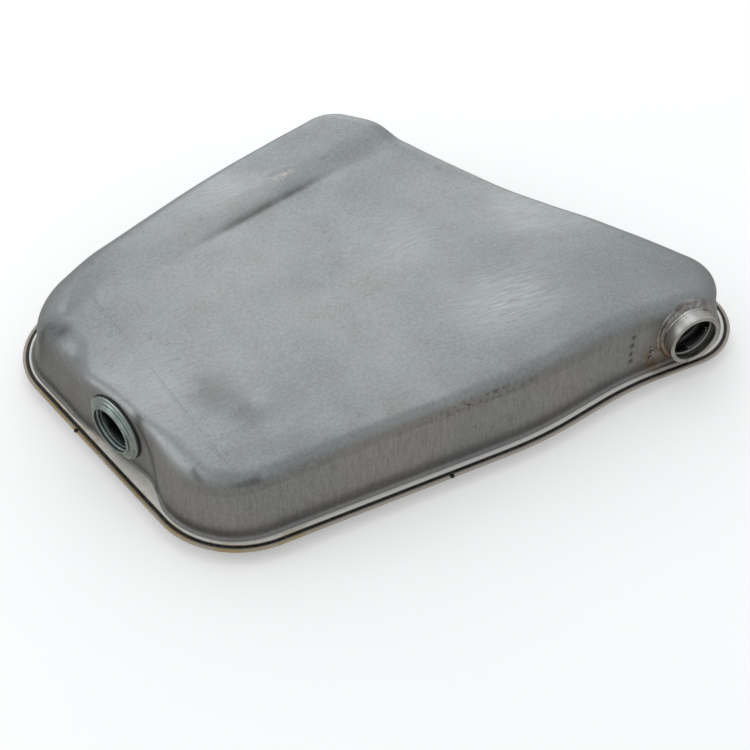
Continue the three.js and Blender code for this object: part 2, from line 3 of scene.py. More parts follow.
import bpy
import numpy as np
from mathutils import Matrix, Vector


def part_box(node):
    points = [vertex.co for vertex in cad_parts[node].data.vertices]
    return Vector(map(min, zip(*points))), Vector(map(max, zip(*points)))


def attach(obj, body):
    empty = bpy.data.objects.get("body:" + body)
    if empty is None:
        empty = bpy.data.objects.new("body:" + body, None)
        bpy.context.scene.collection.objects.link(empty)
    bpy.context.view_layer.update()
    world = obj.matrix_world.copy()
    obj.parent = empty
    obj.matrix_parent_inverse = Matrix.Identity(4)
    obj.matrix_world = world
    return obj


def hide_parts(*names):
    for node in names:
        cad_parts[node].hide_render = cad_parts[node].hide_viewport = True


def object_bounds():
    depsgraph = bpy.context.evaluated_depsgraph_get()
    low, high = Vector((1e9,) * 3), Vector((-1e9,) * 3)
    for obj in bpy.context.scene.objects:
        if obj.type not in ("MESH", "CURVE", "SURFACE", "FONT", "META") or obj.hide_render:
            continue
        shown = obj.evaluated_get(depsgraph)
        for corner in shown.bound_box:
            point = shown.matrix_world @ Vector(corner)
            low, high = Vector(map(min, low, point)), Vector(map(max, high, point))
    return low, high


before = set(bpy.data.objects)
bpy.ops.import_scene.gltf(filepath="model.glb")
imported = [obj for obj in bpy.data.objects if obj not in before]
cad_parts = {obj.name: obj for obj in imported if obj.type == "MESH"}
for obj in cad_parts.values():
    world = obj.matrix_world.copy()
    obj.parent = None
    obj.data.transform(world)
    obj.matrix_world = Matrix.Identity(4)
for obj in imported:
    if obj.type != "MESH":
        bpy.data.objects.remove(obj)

# Fine surfaces and finish of a pressed-steel motorcycle fuel tank. Every fine piece is worked
# out in the tank's plan frame, in millimetres (+X along the long near side, +Y to the back,
# z = 0 in the seam plane), and is then moved to the row frame through the CAD neck tube.
# Each piece takes the place of one node of the CAD model and stays inside the CAD model's box.

CAD_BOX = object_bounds()

# ---------------- driving dimensions

SHEET = 1.2  # thickness of both pressings
SEAM_GAP = 0.1  # half the hairline between the two flanges

# Plan of the flange's outer edge: corners (x, y, rounding radius), counter-clockwise.
PLAN = [
    (-46.5, -2, 73), (230, 2.2, 340), (322, 20.6, 300),
    (482.5, 20.6, 53), (236, 411, 50), (-116, 289, 70),
]

# Flange section, measured inwards from its outer edge.
LIP = 2.0  # width of the lip outside the weld's groove
BAND_END = 5.2  # inner side of the groove
GROOVE = 0.45  # depth of the groove
LAND_RISE = 0.4  # height of the land over the sheet's face
FILLET = 3.5  # from land to wall
SEAT_FILLET = 1.8
GROOVE_FLOOR = SHEET - GROOVE

# The same section as (inset, height over the seam), from the groove out, round the edge and back.
FLANGE_SECTION = [
    (BAND_END, GROOVE_FLOOR + 0.1), (BAND_END - 0.15, GROOVE_FLOOR), (LIP + 0.45, GROOVE_FLOOR),
    (LIP + 0.28, GROOVE_FLOOR + 0.1), (LIP + 0.05, SHEET - 0.1), (LIP - 0.15, SHEET), (0.35, SHEET),
    (0.1, SHEET - 0.09), (0, SHEET - 0.3), (0, 0.3), (0.12, 0.14), (0.35, SEAM_GAP), (BAND_END, SEAM_GAP),
]

# Wall of the upper shell along the edge. Each key lies a share of the way from a plan corner
# to the next one; share 0 is the middle of the corner's rounding:
# (corner, share, shoulder radius, lean inwards, width of land).
NEAR_LEFT, JOG_START, JOG_END, RIGHT, BACK, LEFT_BACK = range(6)
WALL_KEYS = [
    (NEAR_LEFT, 0, 13, 4, 1.6), (NEAR_LEFT, 0.2, 11, 4, 2.8), (NEAR_LEFT, 0.75, 10, 4, 2.8),
    (JOG_START, 0.7, 13, 5, 2.6), (JOG_END, 0.4, 12, 5, 2.2),
    (RIGHT, 0, 20, 6, 1.8), (RIGHT, 0.4, 20, 5, 1.5), (RIGHT, 0.75, 20, 5, 1.5),
    (BACK, 0, 22, 5, 1.5), (BACK, 0.4, 20, 5, 1.5),
    (LEFT_BACK, 0, 28, 5, 1.2), (LEFT_BACK, 0.25, 24, 5, 0.8), (LEFT_BACK, 0.8, 20, 5, 0.8),
]

# Top of the upper shell, heights above the seam plane.
CROWN = dict(x=170, z=65, span=200, left=6, right=7.5)
DISH = dict(at=(22, 88), height=-2.4, spread=30)
ROLL_FOOT = ((20, 250), (200, 300))  # foot of the raised roll along the back
ROLL = dict(rise=26, valley=1, width=9)
ROLL_HEIGHTS = [(-90, -11), (-10, 3), (100, 5), (200, 5), (260, 4)]
CORNER_LIFT = dict(at=(258, 345), height=10, spread=32)
SLANT_DIP = dict(at=(340, 240), height=-8, spread=70)
TOP_CENTRE = (165, 175)

# Flat seat for the port. Its inset grows by skew for each millimetre along the edge.
SEAT = dict(y=126, half=29, fade=42, inset=14, skew=0.11, shoulder=8, boss=8)
PAN = dict(depth=12, shoulder=7, lean=5, land=2.0, fillet=2)
PORT_Z = 32.2
PORT_HOLE = 19.5
NECK = dict(x=376, y=21.4, z=28.4, boss=1.5, outer=22.6, bore=19, hole=23, length=30)
NECK_AT = (NECK["x"], NECK["y"], NECK["z"])
NECK_AXIS = (0.0, -1.0, 0.0)

MM = 0.001


# ---------------- small helpers

def smooth(v):
    t = np.clip(v, 0, 1)
    return t * t * (3 - 2 * t)


def bell(d, width):
    return np.exp(-((d / width) ** 2))


def mound(x, y, at, height, spread):
    return height * bell(np.hypot(x - at[0], y - at[1]), spread)


def along(pairs, x):
    """Piecewise smooth reading of (x, z) pairs."""
    x = np.asarray(x, float)
    out = np.full(x.shape, float(pairs[0][1]))
    for (x0, z0), (x1, z1) in zip(pairs, pairs[1:]):
        t = smooth((x - x0) / (x1 - x0))
        out = np.where(x > x0, z0 + (z1 - z0) * t, out)
    return out


def inside(a, b, x, y):
    """Signed distance of (x, y) to the left of the line from plan corner a to plan corner b."""
    ux, uy = b[0] - a[0], b[1] - a[1]
    return (ux * (y - a[1]) - uy * (x - a[0])) / math.hypot(ux, uy)


def to_stretch(a, b, x, y):
    """Distance of (x, y) to the stretch from a to b, and the nearest point's share of the way along it."""
    ux, uy = b[0] - a[0], b[1] - a[1]
    t = np.clip(((x - a[0]) * ux + (y - a[1]) * uy) / (ux * ux + uy * uy), 0, 1)
    return np.hypot(x - a[0] - ux * t, y - a[1] - uy * t), t


def waves(x, y, z, length, seed, count=10):
    """Smooth random waves of about one wavelength, between -1 and 1."""
    rng = np.random.default_rng(seed)
    total = 0.0
    for _ in range(count):
        way = rng.normal(size=3)
        way *= 2 * math.pi / (length * rng.uniform(0.7, 1.5) * np.linalg.norm(way))
        total = total + np.sin(way[0] * x + way[1] * y + way[2] * z + rng.uniform(0, 6.28))
    return total / count * 1.8


# ---------------- the edge of the flange

def edge_parts():
    """The edge as arcs and straight lines in order, each with its length."""
    n = len(PLAN)
    arcs = []
    for i, (x, y, r) in enumerate(PLAN):
        ax, ay, _ = PLAN[i - 1]
        bx, by, _ = PLAN[(i + 1) % n]
        start = math.atan2(y - ay, x - ax)
        turn = math.atan2(by - y, bx - x) - start
        turn = (turn + math.pi) % (2 * math.pi) - math.pi
        side = math.copysign(1, turn)
        tangent = r * math.tan(abs(turn) / 2)
        sx, sy = x - tangent * math.cos(start), y - tangent * math.sin(start)
        centre = (sx - side * r * math.sin(start), sy + side * r * math.cos(start))
        arcs.append(dict(start=start, turn=turn, side=side, r=r, centre=centre, at=(sx, sy)))
    parts = []
    for i, arc in enumerate(arcs):
        parts.append(("arc", arc["r"] * abs(arc["turn"]), arc))
        end = arc["start"] + arc["turn"]
        ex = arc["centre"][0] + arc["side"] * arc["r"] * math.sin(end)
        ey = arc["centre"][1] - arc["side"] * arc["r"] * math.cos(end)
        nx, ny = arcs[(i + 1) % n]["at"]
        parts.append(("line", math.hypot(nx - ex, ny - ey), dict(at=(ex, ey), way=end)))
    return parts


PARTS = edge_parts()
GIRTH = sum(part[1] for part in PARTS)


def edge_at(run):
    """x, y and inward normal of the edge at the given lengths along it."""
    run = np.asarray(run, float) % GIRTH
    x, y, way = np.zeros(run.shape), np.zeros(run.shape), np.zeros(run.shape)
    start = 0.0
    for kind, length, part in PARTS:
        here = (run >= start) & (run <= start + length)
        s = run[here] - start
        if kind == "line":
            d = np.full(s.shape, part["way"])
            x[here] = part["at"][0] + s * np.cos(d)
            y[here] = part["at"][1] + s * np.sin(d)
        else:
            d = part["start"] + part["side"] * s / part["r"]
            x[here] = part["centre"][0] + part["side"] * part["r"] * np.sin(d)
            y[here] = part["centre"][1] - part["side"] * part["r"] * np.cos(d)
        way[here] = d
        start += length
    return x, y, -np.sin(way), np.cos(way)


PROBE_RUN = np.linspace(0, GIRTH, 4000, endpoint=False)
PROBE = edge_at(PROBE_RUN)


def run_near(x, y):
    return PROBE_RUN[np.argmin(np.hypot(PROBE[0] - x, PROBE[1] - y))]


def plan_place(corner, share):
    """Point a share of the way from a plan corner to the next one."""
    ax, ay, _ = PLAN[corner]
    bx, by, _ = PLAN[(corner + 1) % len(PLAN)]
    return ax + (bx - ax) * share, ay + (by - ay) * share


# Places on the edge where the surface above needs closer stations: (x, y, half width, closeness).
CLOSE = [(323, 21, 9, 4.5), (112, 367, 30, 1.5), (-36, 14, 24, 1.3), (-107, 252, 26, 1.2)]


def stations(spacing, closer=()):
    """Lengths along the edge, evenly spaced but closer at the places named."""
    fine = np.linspace(0, GIRTH, 12000)
    rate = np.full(fine.shape, 1 / spacing)
    for x, y, half, more in closer:
        away = np.abs((fine - run_near(x, y) + GIRTH / 2) % GIRTH - GIRTH / 2)
        rate *= 1 + (more - 1) * (1 - smooth((away - half) / 12))
    total = np.concatenate([[0], np.cumsum((rate[1:] + rate[:-1]) / 2 * np.diff(fine))])
    count = int(total[-1])
    return np.interp(np.arange(count) * total[-1] / count, total, fine)


LEFT_A, LEFT_B = PLAN[5], PLAN[0]
_left = math.atan2(LEFT_B[1] - LEFT_A[1], LEFT_B[0] - LEFT_A[0])
SEAT_IN = (-math.sin(_left), math.cos(_left))
_share = (SEAT["y"] - LEFT_A[1]) / (LEFT_B[1] - LEFT_A[1])
SEAT_EDGE = (LEFT_A[0] + (LEFT_B[0] - LEFT_A[0]) * _share, SEAT["y"])


def seat_inset(x, y):
    """Inset of the seat's plane, which is turned a little towards the near side."""
    step = (x - SEAT_EDGE[0]) * math.cos(_left) + (y - SEAT_EDGE[1]) * math.sin(_left)
    return SEAT["inset"] + SEAT["skew"] * step


def wall_at(run, x, y):
    """Base, fillet, lean and shoulder of the wall at lengths along the edge."""
    keys = sorted((run_near(*plan_place(*k[:2])),) + k[2:] for k in WALL_KEYS)
    keys = [(keys[-1][0] - GIRTH,) + keys[-1][1:]] + keys + [(keys[0][0] + GIRTH,) + keys[0][1:]]
    shoulder, lean, land = (along([(k[0], k[c]) for k in keys], run) for c in (1, 2, 3))
    share = 1 - smooth((np.hypot(x - SEAT_EDGE[0], y - SEAT_EDGE[1]) - SEAT["half"]) / SEAT["fade"])
    base = BAND_END + land + FILLET
    return dict(
        base=base + share * (seat_inset(x, y) - base),
        fillet=FILLET + share * (SEAT_FILLET - FILLET),
        lean=lean * (1 - share),
        shoulder=shoulder + share * (SEAT["shoulder"] - shoulder),
    )


# ---------------- the top and its marks

# Marks of use and of the press tool, in plan millimetres. Most are also darkened with painted shade in the
# colour.
CREASE = ((28, 256), (203, 304))  # sharp foot of the roll
SCAR = ((131, 309), (165, 312))  # gouge on the roll
SCAR_BRIGHT = ((141, 305), (158, 311))  # where it is rubbed bright
PINCH = ((-83, 239), (-73, 224))  # pinched metal at the left end of the roll
CORNER_EDGE = [(-34, 44), (-32, 28), (-22, 20), (4, 16)]  # crisp edge over the near-left corner
HAMMERED = [(-57, 227), (-50, 224), (-43, 228), (-36, 225)]  # small hammer marks
# The next line is painted shade alone: a dark line drawn in the colour beside the port's seat.
SEAT_SHADE_LINE = [(106, 62), (91, 34), (84, 2)]  # y and height of the crease beside the port's seat
PUNCHES = [(326, 40.5), (325, 33), (324, 25.5), (324, 18.5)]  # x and height of the punch marks


def press_marks(x, y):
    """Deeper marks of the press tool and of handling, added to the top's height."""
    d, t = to_stretch(*CREASE, x, y)
    z = -1.0 * bell(d, 3.2) * smooth(t * 2.2) * smooth((1 - t) * 4)
    d, t = to_stretch(*SCAR, x, y)
    z -= 0.55 * bell(d, 2.4) * smooth(t * 3) * smooth((1 - t) * 4)
    z += 0.3 * bell(d - 5, 2.6) * smooth(t * 3) * smooth((1 - t) * 4)
    d, _ = to_stretch(*PINCH, x, y)
    z -= 2.4 * bell(d, 6.5)
    for a, b in zip(CORNER_EDGE, CORNER_EDGE[1:]):
        d, _ = to_stretch(a, b, x, y)
        z -= 0.5 * bell(d, 2.4)
    for at in HAMMERED:
        z += mound(x, y, at, -0.45, 3.2)
    return z


def top_height(x, y):
    drop = np.where(x < CROWN["x"], CROWN["left"], CROWN["right"])
    z = CROWN["z"] - drop * ((x - CROWN["x"]) / CROWN["span"]) ** 2
    z -= 1 - smooth((inside(PLAN[3], PLAN[4], x, y) - 25) / 60)
    for hill in (SLANT_DIP, CORNER_LIFT, DISH):
        z += mound(x, y, **hill)
    behind = inside(*ROLL_FOOT, x, y)
    z += along(ROLL_HEIGHTS, x) * smooth(behind / ROLL["rise"])
    z -= ROLL["valley"] * bell(behind, ROLL["width"])
    z += mound(x, y, SEAT_EDGE, SEAT["boss"], 40)
    z += mound(x, y, NECK_AT, NECK["boss"], 45)
    return z + press_marks(x, y)


# ---------------- sections

FINE_STEPS = (6, 34, 14)  # of the fillet, the wall and the shoulder
COARSE_STEPS = (3, 6, 5)

# Share: which part of a shell a point is on. 0 is the land, 0 to 1 the wall from its foot up,
# 1 to 2 the shoulder.
ON_FLANGE, ON_TOP, WITHIN = -1, 2, 3


def upper_section(run, steps=FINE_STEPS):
    """Rows (inset, height, normal inwards, normal up, share) of the outer face from the flange's
    groove to the inner end of the shoulder, at lengths along the edge."""
    x, y, nx, ny = edge_at(run)
    w = wall_at(run, x, y)
    land = SHEET + LAND_RISE
    end = w["base"] + w["lean"] + w["shoulder"]
    top = top_height(x + nx * end, y + ny * end)
    low, high = land + w["fillet"], top - w["shoulder"]
    one = np.ones(x.shape)
    rows = [(one * (BAND_END + 0.05), one * (land - 0.12), 0 * one, one, 0 * one),
            (one * (BAND_END + 0.3), one * land, 0 * one, one, 0 * one)]
    fillet_steps, wall_steps, shoulder_steps = steps
    for k in range(fillet_steps + 1):
        a = math.pi / 2 * k / fillet_steps
        rows.append((w["base"] - w["fillet"] * (1 - math.sin(a)), land + w["fillet"] * (1 - math.cos(a)),
                     -math.sin(a) * one, math.cos(a) * one, 0.02 * k * one / fillet_steps))
    for k in range(1, wall_steps):
        t = k / wall_steps
        bend = float(smooth(t)) * 0.6 + t * 0.4
        rows.append((w["base"] + w["lean"] * bend, low + (high - low) * t, -one, 0 * one, t * one))
    for k in range(shoulder_steps + 1):
        a = math.pi / 2 * k / shoulder_steps
        inset = w["base"] + w["lean"] + w["shoulder"] * (1 - math.cos(a))
        rows.append((inset, high + w["shoulder"] * math.sin(a), -math.cos(a) * one, math.sin(a) * one,
                     one * (1 + a / (math.pi / 2))))
    return (x, y, nx, ny), rows


# ---------------- meshes

CAD_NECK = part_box("neck_tube")
SHIFT = np.array([
    (CAD_NECK[0].x + CAD_NECK[1].x) / 2 - NECK["x"] * MM,
    CAD_NECK[0].y - NECK["y"] * MM,
    (CAD_NECK[0].z + CAD_NECK[1].z) / 2 - NECK["z"] * MM,
])
BOX_LO, BOX_HI = np.array(CAD_BOX[0]), np.array(CAD_BOX[1])


SHELL_SHARP = 38  # degrees


def add_object(name, data):
    obj = bpy.data.objects.new(name, data)
    bpy.context.scene.collection.objects.link(obj)
    return obj


def make_object(name, points, faces, sharp=SHELL_SHARP, masks=None):
    """Mesh object from plan points in millimetres, kept inside the CAD model's box."""
    row = np.asarray(points, float) * MM + SHIFT
    row = np.clip(row, BOX_LO + 1e-5, BOX_HI - 1e-5)
    mesh = bpy.data.meshes.new(name)
    mesh.from_pydata(row.tolist(), [], faces)
    for key, values in (masks or {}).items():
        layer = mesh.attributes.new(key, "FLOAT", "POINT")
        layer.data.foreach_set("value", np.asarray(values, np.float32))
    mesh.validate()
    mesh.update()
    return finish_mesh(add_object(name, mesh), sharp)


def finish_mesh(obj, sharp):
    """Smooth shading, with sharp edges past the angle given."""
    mesh = obj.data
    mesh.shade_smooth()
    mesh.set_sharp_from_angle(angle=math.radians(sharp))
    return obj


def loft(rings, closed, caps=None):
    """Points and faces over rings of equal size. closed joins the last ring to the first;
    otherwise caps are two points that close the two ends."""
    n = len(rings[0])
    points = np.concatenate(rings).tolist()
    faces = []
    pairs = [(i, i + 1) for i in range(len(rings) - 1)]
    if closed:
        pairs.append((len(rings) - 1, 0))
    for a, b in pairs:
        for j in range(n):
            k = (j + 1) % n
            faces.append((a * n + j, a * n + k, b * n + k, b * n + j))
    if not closed:
        points += [list(caps[0]), list(caps[1])]
        first, last = len(points) - 2, (len(rings) - 1) * n
        for j in range(n):
            k = (j + 1) % n
            faces.append((first, k, j))
            faces.append((first + 1, last + j, last + k))
    return points, faces_out(points, faces)


def faces_out(points, faces):
    """The faces, turned round if the solid is inside out."""
    p = np.asarray(points, float)
    volume = 0.0
    for size in (3, 4):
        f = np.array([face for face in faces if len(face) == size])
        if len(f) == 0:
            continue
        for k in range(1, size - 1):
            volume += np.einsum("ij,ij->", p[f[:, 0]], np.cross(p[f[:, k]], p[f[:, k + 1]]))
    return faces if volume > 0 else [face[::-1] for face in faces]


def cover_rings(rim, count, growth):
    """How far in towards the top's centre each ring inside the rim lies, 0 to 1, with its x and y."""
    for k in range(1, count):
        u = (k / count) ** growth
        yield u, rim[:, 0] + (TOP_CENTRE[0] - rim[:, 0]) * u, rim[:, 1] + (TOP_CENTRE[1] - rim[:, 1]) * u


def ring_at(edge, inset, height):
    x, y, nx, ny = edge
    return np.stack([x + nx * inset, y + ny * inset, np.broadcast_to(height, x.shape)], 1)


def cut_hole(obj, centre, axis, radius, reach):
    """Takes a round hole out of obj, with the cylinder's middle at centre."""
    axis = Vector(axis).normalized()
    place = Vector((np.array(centre) * MM + SHIFT).tolist())
    bpy.ops.mesh.primitive_cylinder_add(vertices=120, radius=radius * MM, depth=reach * MM, location=place)
    cutter = bpy.context.object
    cutter.rotation_euler = axis.to_track_quat("Z", "Y").to_euler()
    cut = obj.modifiers.new("hole", "BOOLEAN")
    cut.object = cutter
    cut.operation = "DIFFERENCE"
    cut.solver = "EXACT"
    bpy.context.view_layer.update()
    result = bpy.data.meshes.new_from_object(obj.evaluated_get(bpy.context.evaluated_depsgraph_get()))
    obj.modifiers.clear()
    obj.data = result
    bpy.data.objects.remove(cutter)


# ---------------- upper shell

UPPER_RUN = stations(3.4, CLOSE)
COVER_RINGS = 62
COVER_GROWTH = 1.35
SKIN_WAVE = 0.16  # height of the sheet's slow waves
UNDER_STEP = 3  # the hidden underside takes every third ring of the top
UNDER_DROP = 1.0  # and lies this much deeper, clear of the press marks


def wall_marks(x, z, height):
    """How far the near wall is punched in at (x, height z)."""
    depth = 0.0
    for px, pz in PUNCHES:
        u = (x - px) * 0.8 + (z - pz) * 0.6
        v = -(x - px) * 0.6 + (z - pz) * 0.8
        depth += 0.75 * np.exp(-((u / 1.9) ** 4) - (v / 1.0) ** 4)
    return depth * height


def upper_shell():
    edge, rows = upper_section(UPPER_RUN)
    x, y, nx, ny = edge
    one = np.ones(x.shape)
    rings, rise = [], []
    near = smooth((ny - 0.8) / 0.15) * smooth((NEAR - y) / 20)
    for inset, z, nd, nz, share in rows:
        ring = ring_at(edge, inset, z)
        push = SKIN_WAVE * waves(ring[:, 0], ring[:, 1], ring[:, 2], 42, 3) * smooth(share * 4)
        push = push - wall_marks(ring[:, 0], ring[:, 2], near) * (share < 1.05)
        ring[:, 0] += nx * nd * push
        ring[:, 1] += ny * nd * push
        ring[:, 2] += nz * push
        rings.append(ring)
        rise.append(share)
    rim = ring_at(edge, rows[-1][0], rows[-1][1])
    cover = []
    for u, cx, cy in cover_rings(rim, COVER_RINGS, COVER_GROWTH):
        cz = top_height(cx, cy)
        cz = cz + SKIN_WAVE * waves(cx, cy, cz, 42, 3) * (1 - 0.7 * u)
        cover.append(np.stack([cx, cy, cz], 1))
    _, coarse = upper_section(UPPER_RUN, COARSE_STEPS)
    inner = [ring_at(edge, d - nd * SHEET, z - nz * SHEET) for d, z, nd, nz, _ in coarse[1:]]
    under = []
    for k, ring in enumerate(cover[::UNDER_STEP]):
        under.append(ring - np.array([0, 0, SHEET + UNDER_DROP * float(smooth(k / 3))]))
    middle = cover[-1].mean(0)
    flange = [ring_at(edge, d, z) for d, z in FLANGE_SECTION]
    order = cover[::-1] + rings[::-1] + flange + inner + under
    points, faces = loft(order, False, (middle, middle - np.array([0, 0, SHEET + UNDER_DROP])))
    shares = [ON_TOP * one] * len(cover) + rise[::-1] + [ON_FLANGE * one] * len(flange)
    shares += [WITHIN * one] * (len(inner) + len(under)) + [[ON_TOP, WITHIN]]
    share = np.concatenate(shares)
    obj = make_object("upper_shell_fine", points, faces, masks=upper_masks(np.array(points), share))
    cut_hole(obj, NECK_AT, NECK_AXIS, NECK["hole"], 80)
    cut_hole(obj, PORT_AT, PORT_AXIS, PORT_HOLE, 60)
    return finish_mesh(obj, SHELL_SHARP)


NEAR = 60  # the near wall lies at y below this
# Painted shade: a dark patch in the dish and a darker right corner.
DISH_SHADE = ((2, 109), (22, 75))
RIGHT_SHADE = (440, 75)
SCUFF = dict(x=180, z=54, long=42, high=4.5, climb=0.02)  # rub marks high on the near wall
BURN = (346, 12)  # x and height of the scorched spot beside the neck

# Brushed patches, also painted highlights: (x, y, stretch along x, reach, strength).
BRUSHED_HIGHLIGHTS = [(245, 95, 1.4, 34, 1.0), (-15, 125, 1, 50, 0.35), (330, 185, 1, 55, 0.5),
          (205, 190, 1, 30, 0.6), (32, 86, 1, 8, 0.8), (90, 310, 3, 20, 0.5)]


def painted_shade_mask(x, y, z, share, wall):
    """Painted shade in creases, hollows and on the darker sides, 0 to 1."""
    # darkened in the colour: the roll's crease, the dish, the pinch, the near-left edge, the punch marks and
    # the seat's line
    d, t = to_stretch(*CREASE, x, y)
    painted_shade = 0.62 * bell(d, 3) * smooth(t * 2.2) * smooth((1 - t) * 4)
    painted_shade += 0.12 * bell(d, 10) * smooth(t * 1.5) * smooth((1 - t) * 3)
    d, _ = to_stretch(*DISH_SHADE, x, y)
    painted_shade += 0.34 * bell(d, 17)
    d, _ = to_stretch(*PINCH, x, y)
    painted_shade += 0.8 * bell(d, 8)
    for a, b in zip(CORNER_EDGE, CORNER_EDGE[1:]):
        d, _ = to_stretch(a, b, x, y)
        painted_shade = np.maximum(painted_shade, 0.6 * bell(d, 2.0) * smooth((z - 50) / 4))
    for px, pz in PUNCHES:
        painted_shade = np.maximum(painted_shade, bell(np.hypot(x - px, z - pz), 1.9) * (y < NEAR))
    # painted shade over the left wall, the right corner and the near side's shoulder and top
    painted_shade += 0.16 * wall * smooth((-20 - x) / 40)
    painted_shade += mound(x, y, RIGHT_SHADE, 0.2, 60)
    for a, b in zip(SEAT_SHADE_LINE, SEAT_SHADE_LINE[1:]):
        d, _ = to_stretch(a, b, y, z)
        painted_shade = np.maximum(painted_shade, 0.75 * bell(d, 4.0) * (x < -20) * (share > 0) * (share < 1.7))
    painted_shade += 0.16 * smooth((70 - y) / 60) * (share > 0.9) * (share < 2.5)
    return np.clip(painted_shade, 0, 1)


def upper_masks(p, share):
    """Where each part of the shell, each mark of its finish, and the painted shade and highlights are, 0 to
    1.
    """
    x, y, z = p[:, 0], p[:, 1], p[:, 2]
    wall = np.where((share > 0) & (share < 2), 1 - smooth((share - 1) / 0.6), 0)
    # painted shade at the wall's foot, over the fillet by the land
    foot_shade = np.where(share > 0, 1 - smooth((share - 0.02) / 0.22), 0) * (share < 2)
    brushed_highlight = np.zeros(x.shape)
    for sx, sy, stretch, reach, strength in BRUSHED_HIGHLIGHTS:
        brushed_highlight += strength * bell(np.hypot((x - sx) / stretch, y - sy), reach)
    scar, _ = to_stretch(*SCAR_BRIGHT, x, y)
    over = x - SCUFF["x"]
    scuff = bell(over, SCUFF["long"]) * bell(z - SCUFF["z"] - over * SCUFF["climb"], SCUFF["high"])
    return dict(
        wall=wall,
        foot_shade=foot_shade,
        flange=(share < 0).astype(float),
        land=(share == 0).astype(float),
        painted_shade=painted_shade_mask(x, y, z, share, wall),
        brushed_highlight=np.clip(brushed_highlight, 0, 1),
        bare=bell(scar, 2.4),
        scuff=scuff * (y < NEAR) * (share > 0),
        burn=bell(np.hypot(x - BURN[0], z - BURN[1]), 13) * (y < NEAR),
        straw=heat_tint(x, y),
        # inner: the inside faces, painted near black as shade
        inner=(share > 2.5).astype(float),
    )


# Where the weld's heat has tinted the flange: (x, y, reach).
HEAT_SPOTS = [(-104, 200, 40), (-88, 150, 30), (-75, 90, 26), (-58, 38, 22), (-30, 3, 26), (20, 0, 18),
              (470, 40, 26), (455, 21, 16)]


def heat_tint(x, y):
    return np.clip(sum(mound(x, y, (hx, hy), 0.8, reach) for hx, hy, reach in HEAT_SPOTS), 0, 1)


# ---------------- lower shell

PAN_BEADS = [((20, 70), (300, 70)), ((20, 140), (300, 140)), ((20, 210), (240, 210))]
PAN_BEAD_DEPTH = 2.2
PAN_RINGS = 60
PAN_GROWTH = 1.1


def lower_shell():
    run = stations(6)
    edge = edge_at(run)
    x, y, nx, ny = edge
    land = SHEET + LAND_RISE
    f, r = PAN["fillet"], PAN["shoulder"]
    base = BAND_END + PAN["land"] + f
    section = [(BAND_END + 0.05, land - 0.12, 0, 1), (BAND_END + 0.3, land, 0, 1)]
    for k in range(5):
        a = math.pi / 3 * k / 4
        section.append((base - f + f * math.sin(a), land + f * (1 - math.cos(a)), -math.sin(a), math.cos(a)))
    for k in range(9):
        a = math.pi / 6 + math.pi / 3 * k / 8
        section.append((base + PAN["lean"] + r * (1 - math.cos(a)), PAN["depth"] - r + r * math.sin(a),
                        -math.cos(a), math.sin(a)))
    rings = [ring_at(edge, d, -z) for d, z, _, _ in section]
    cover = []
    for _, cx, cy in cover_rings(rings[-1], PAN_RINGS, PAN_GROWTH):
        lift = np.zeros(cx.shape)
        for a, b in PAN_BEADS:
            d, _ = to_stretch(a, b, cx, cy)
            lift += PAN_BEAD_DEPTH * (1 - smooth((d - 5) / 7))
        cover.append(np.stack([cx, cy, np.minimum(lift, PAN_BEAD_DEPTH) - PAN["depth"]], 1))
    inner = [ring_at(edge, d - nd * SHEET, -(z - nz * SHEET)) for d, z, nd, nz in section[1:]]
    over = [ring + np.array([0, 0, SHEET]) for ring in cover]
    flange = [ring_at(edge, d, -z) for d, z in FLANGE_SECTION]
    order = cover[::-1] + rings[::-1] + flange + inner + over
    middle = cover[-1].mean(0)
    points, faces = loft(order, False, (middle, middle + np.array([0, 0, SHEET])))
    p = np.array(points)
    flange_from = len(x) * (len(cover) + len(rings))
    inner_from = flange_from + len(x) * len(flange)
    place = np.arange(len(p))
    zero = np.zeros(len(p))
    masks = dict.fromkeys(("foot_shade", "land", "painted_shade", "brushed_highlight", "bare", "scuff", "burn"), zero)
    masks["wall"] = bell(p[:, 2] + 6, 4)
    masks["flange"] = ((place >= flange_from) & (place < inner_from)).astype(float)
    # The inside faces are painted near black: painted shade.
    masks["inner"] = (place >= inner_from).astype(float)
    masks["straw"] = heat_tint(p[:, 0], p[:, 1])
    return make_object("lower_shell_fine", points, faces, masks=masks)


# ---------------- seam welds

NUGGET = 2.4  # pitch of the roller weld's nuggets


def seam_track(name, sign):
    """Roller-weld track in the groove of one flange, a shallow dome with a ripple."""
    run = stations(0.8)
    edge = edge_at(run)
    ripple = 0.5 + 0.5 * np.cos(2 * math.pi * run / NUGGET)
    a, b = LIP + 0.5, BAND_END - 0.2
    low = GROOVE_FLOOR + 0.04
    rings = [ring_at(edge, a, sign * low), ring_at(edge, b, sign * low)]
    for t in (1.0, 0.9, 0.65, 0.35, 0.1, 0.0):
        dome = math.sin(math.pi * (0.08 + 0.84 * t))
        rings.append(ring_at(edge, a + (b - a) * t, sign * (low + 0.03 + dome * (0.14 + 0.12 * ripple))))
    points, faces = loft(rings, True)
    return make_object(name, points, faces, sharp=60)


EDGE_BEAD = dict(inwards=0.6, z=0.9, size=(2.2, 2.2, 1.5))
LUMPS = 0.12  # unevenness of the weld's drops


def edge_bead(name, x, y, seed):
    """Drop of metal squeezed out over the edge of the flange."""
    bx, by, nx, ny = (float(v) for v in edge_at(np.array([run_near(x, y)])))
    off = EDGE_BEAD["inwards"]
    return drop(name, (bx + nx * off, by + ny * off, EDGE_BEAD["z"]), EDGE_BEAD["size"], seed)


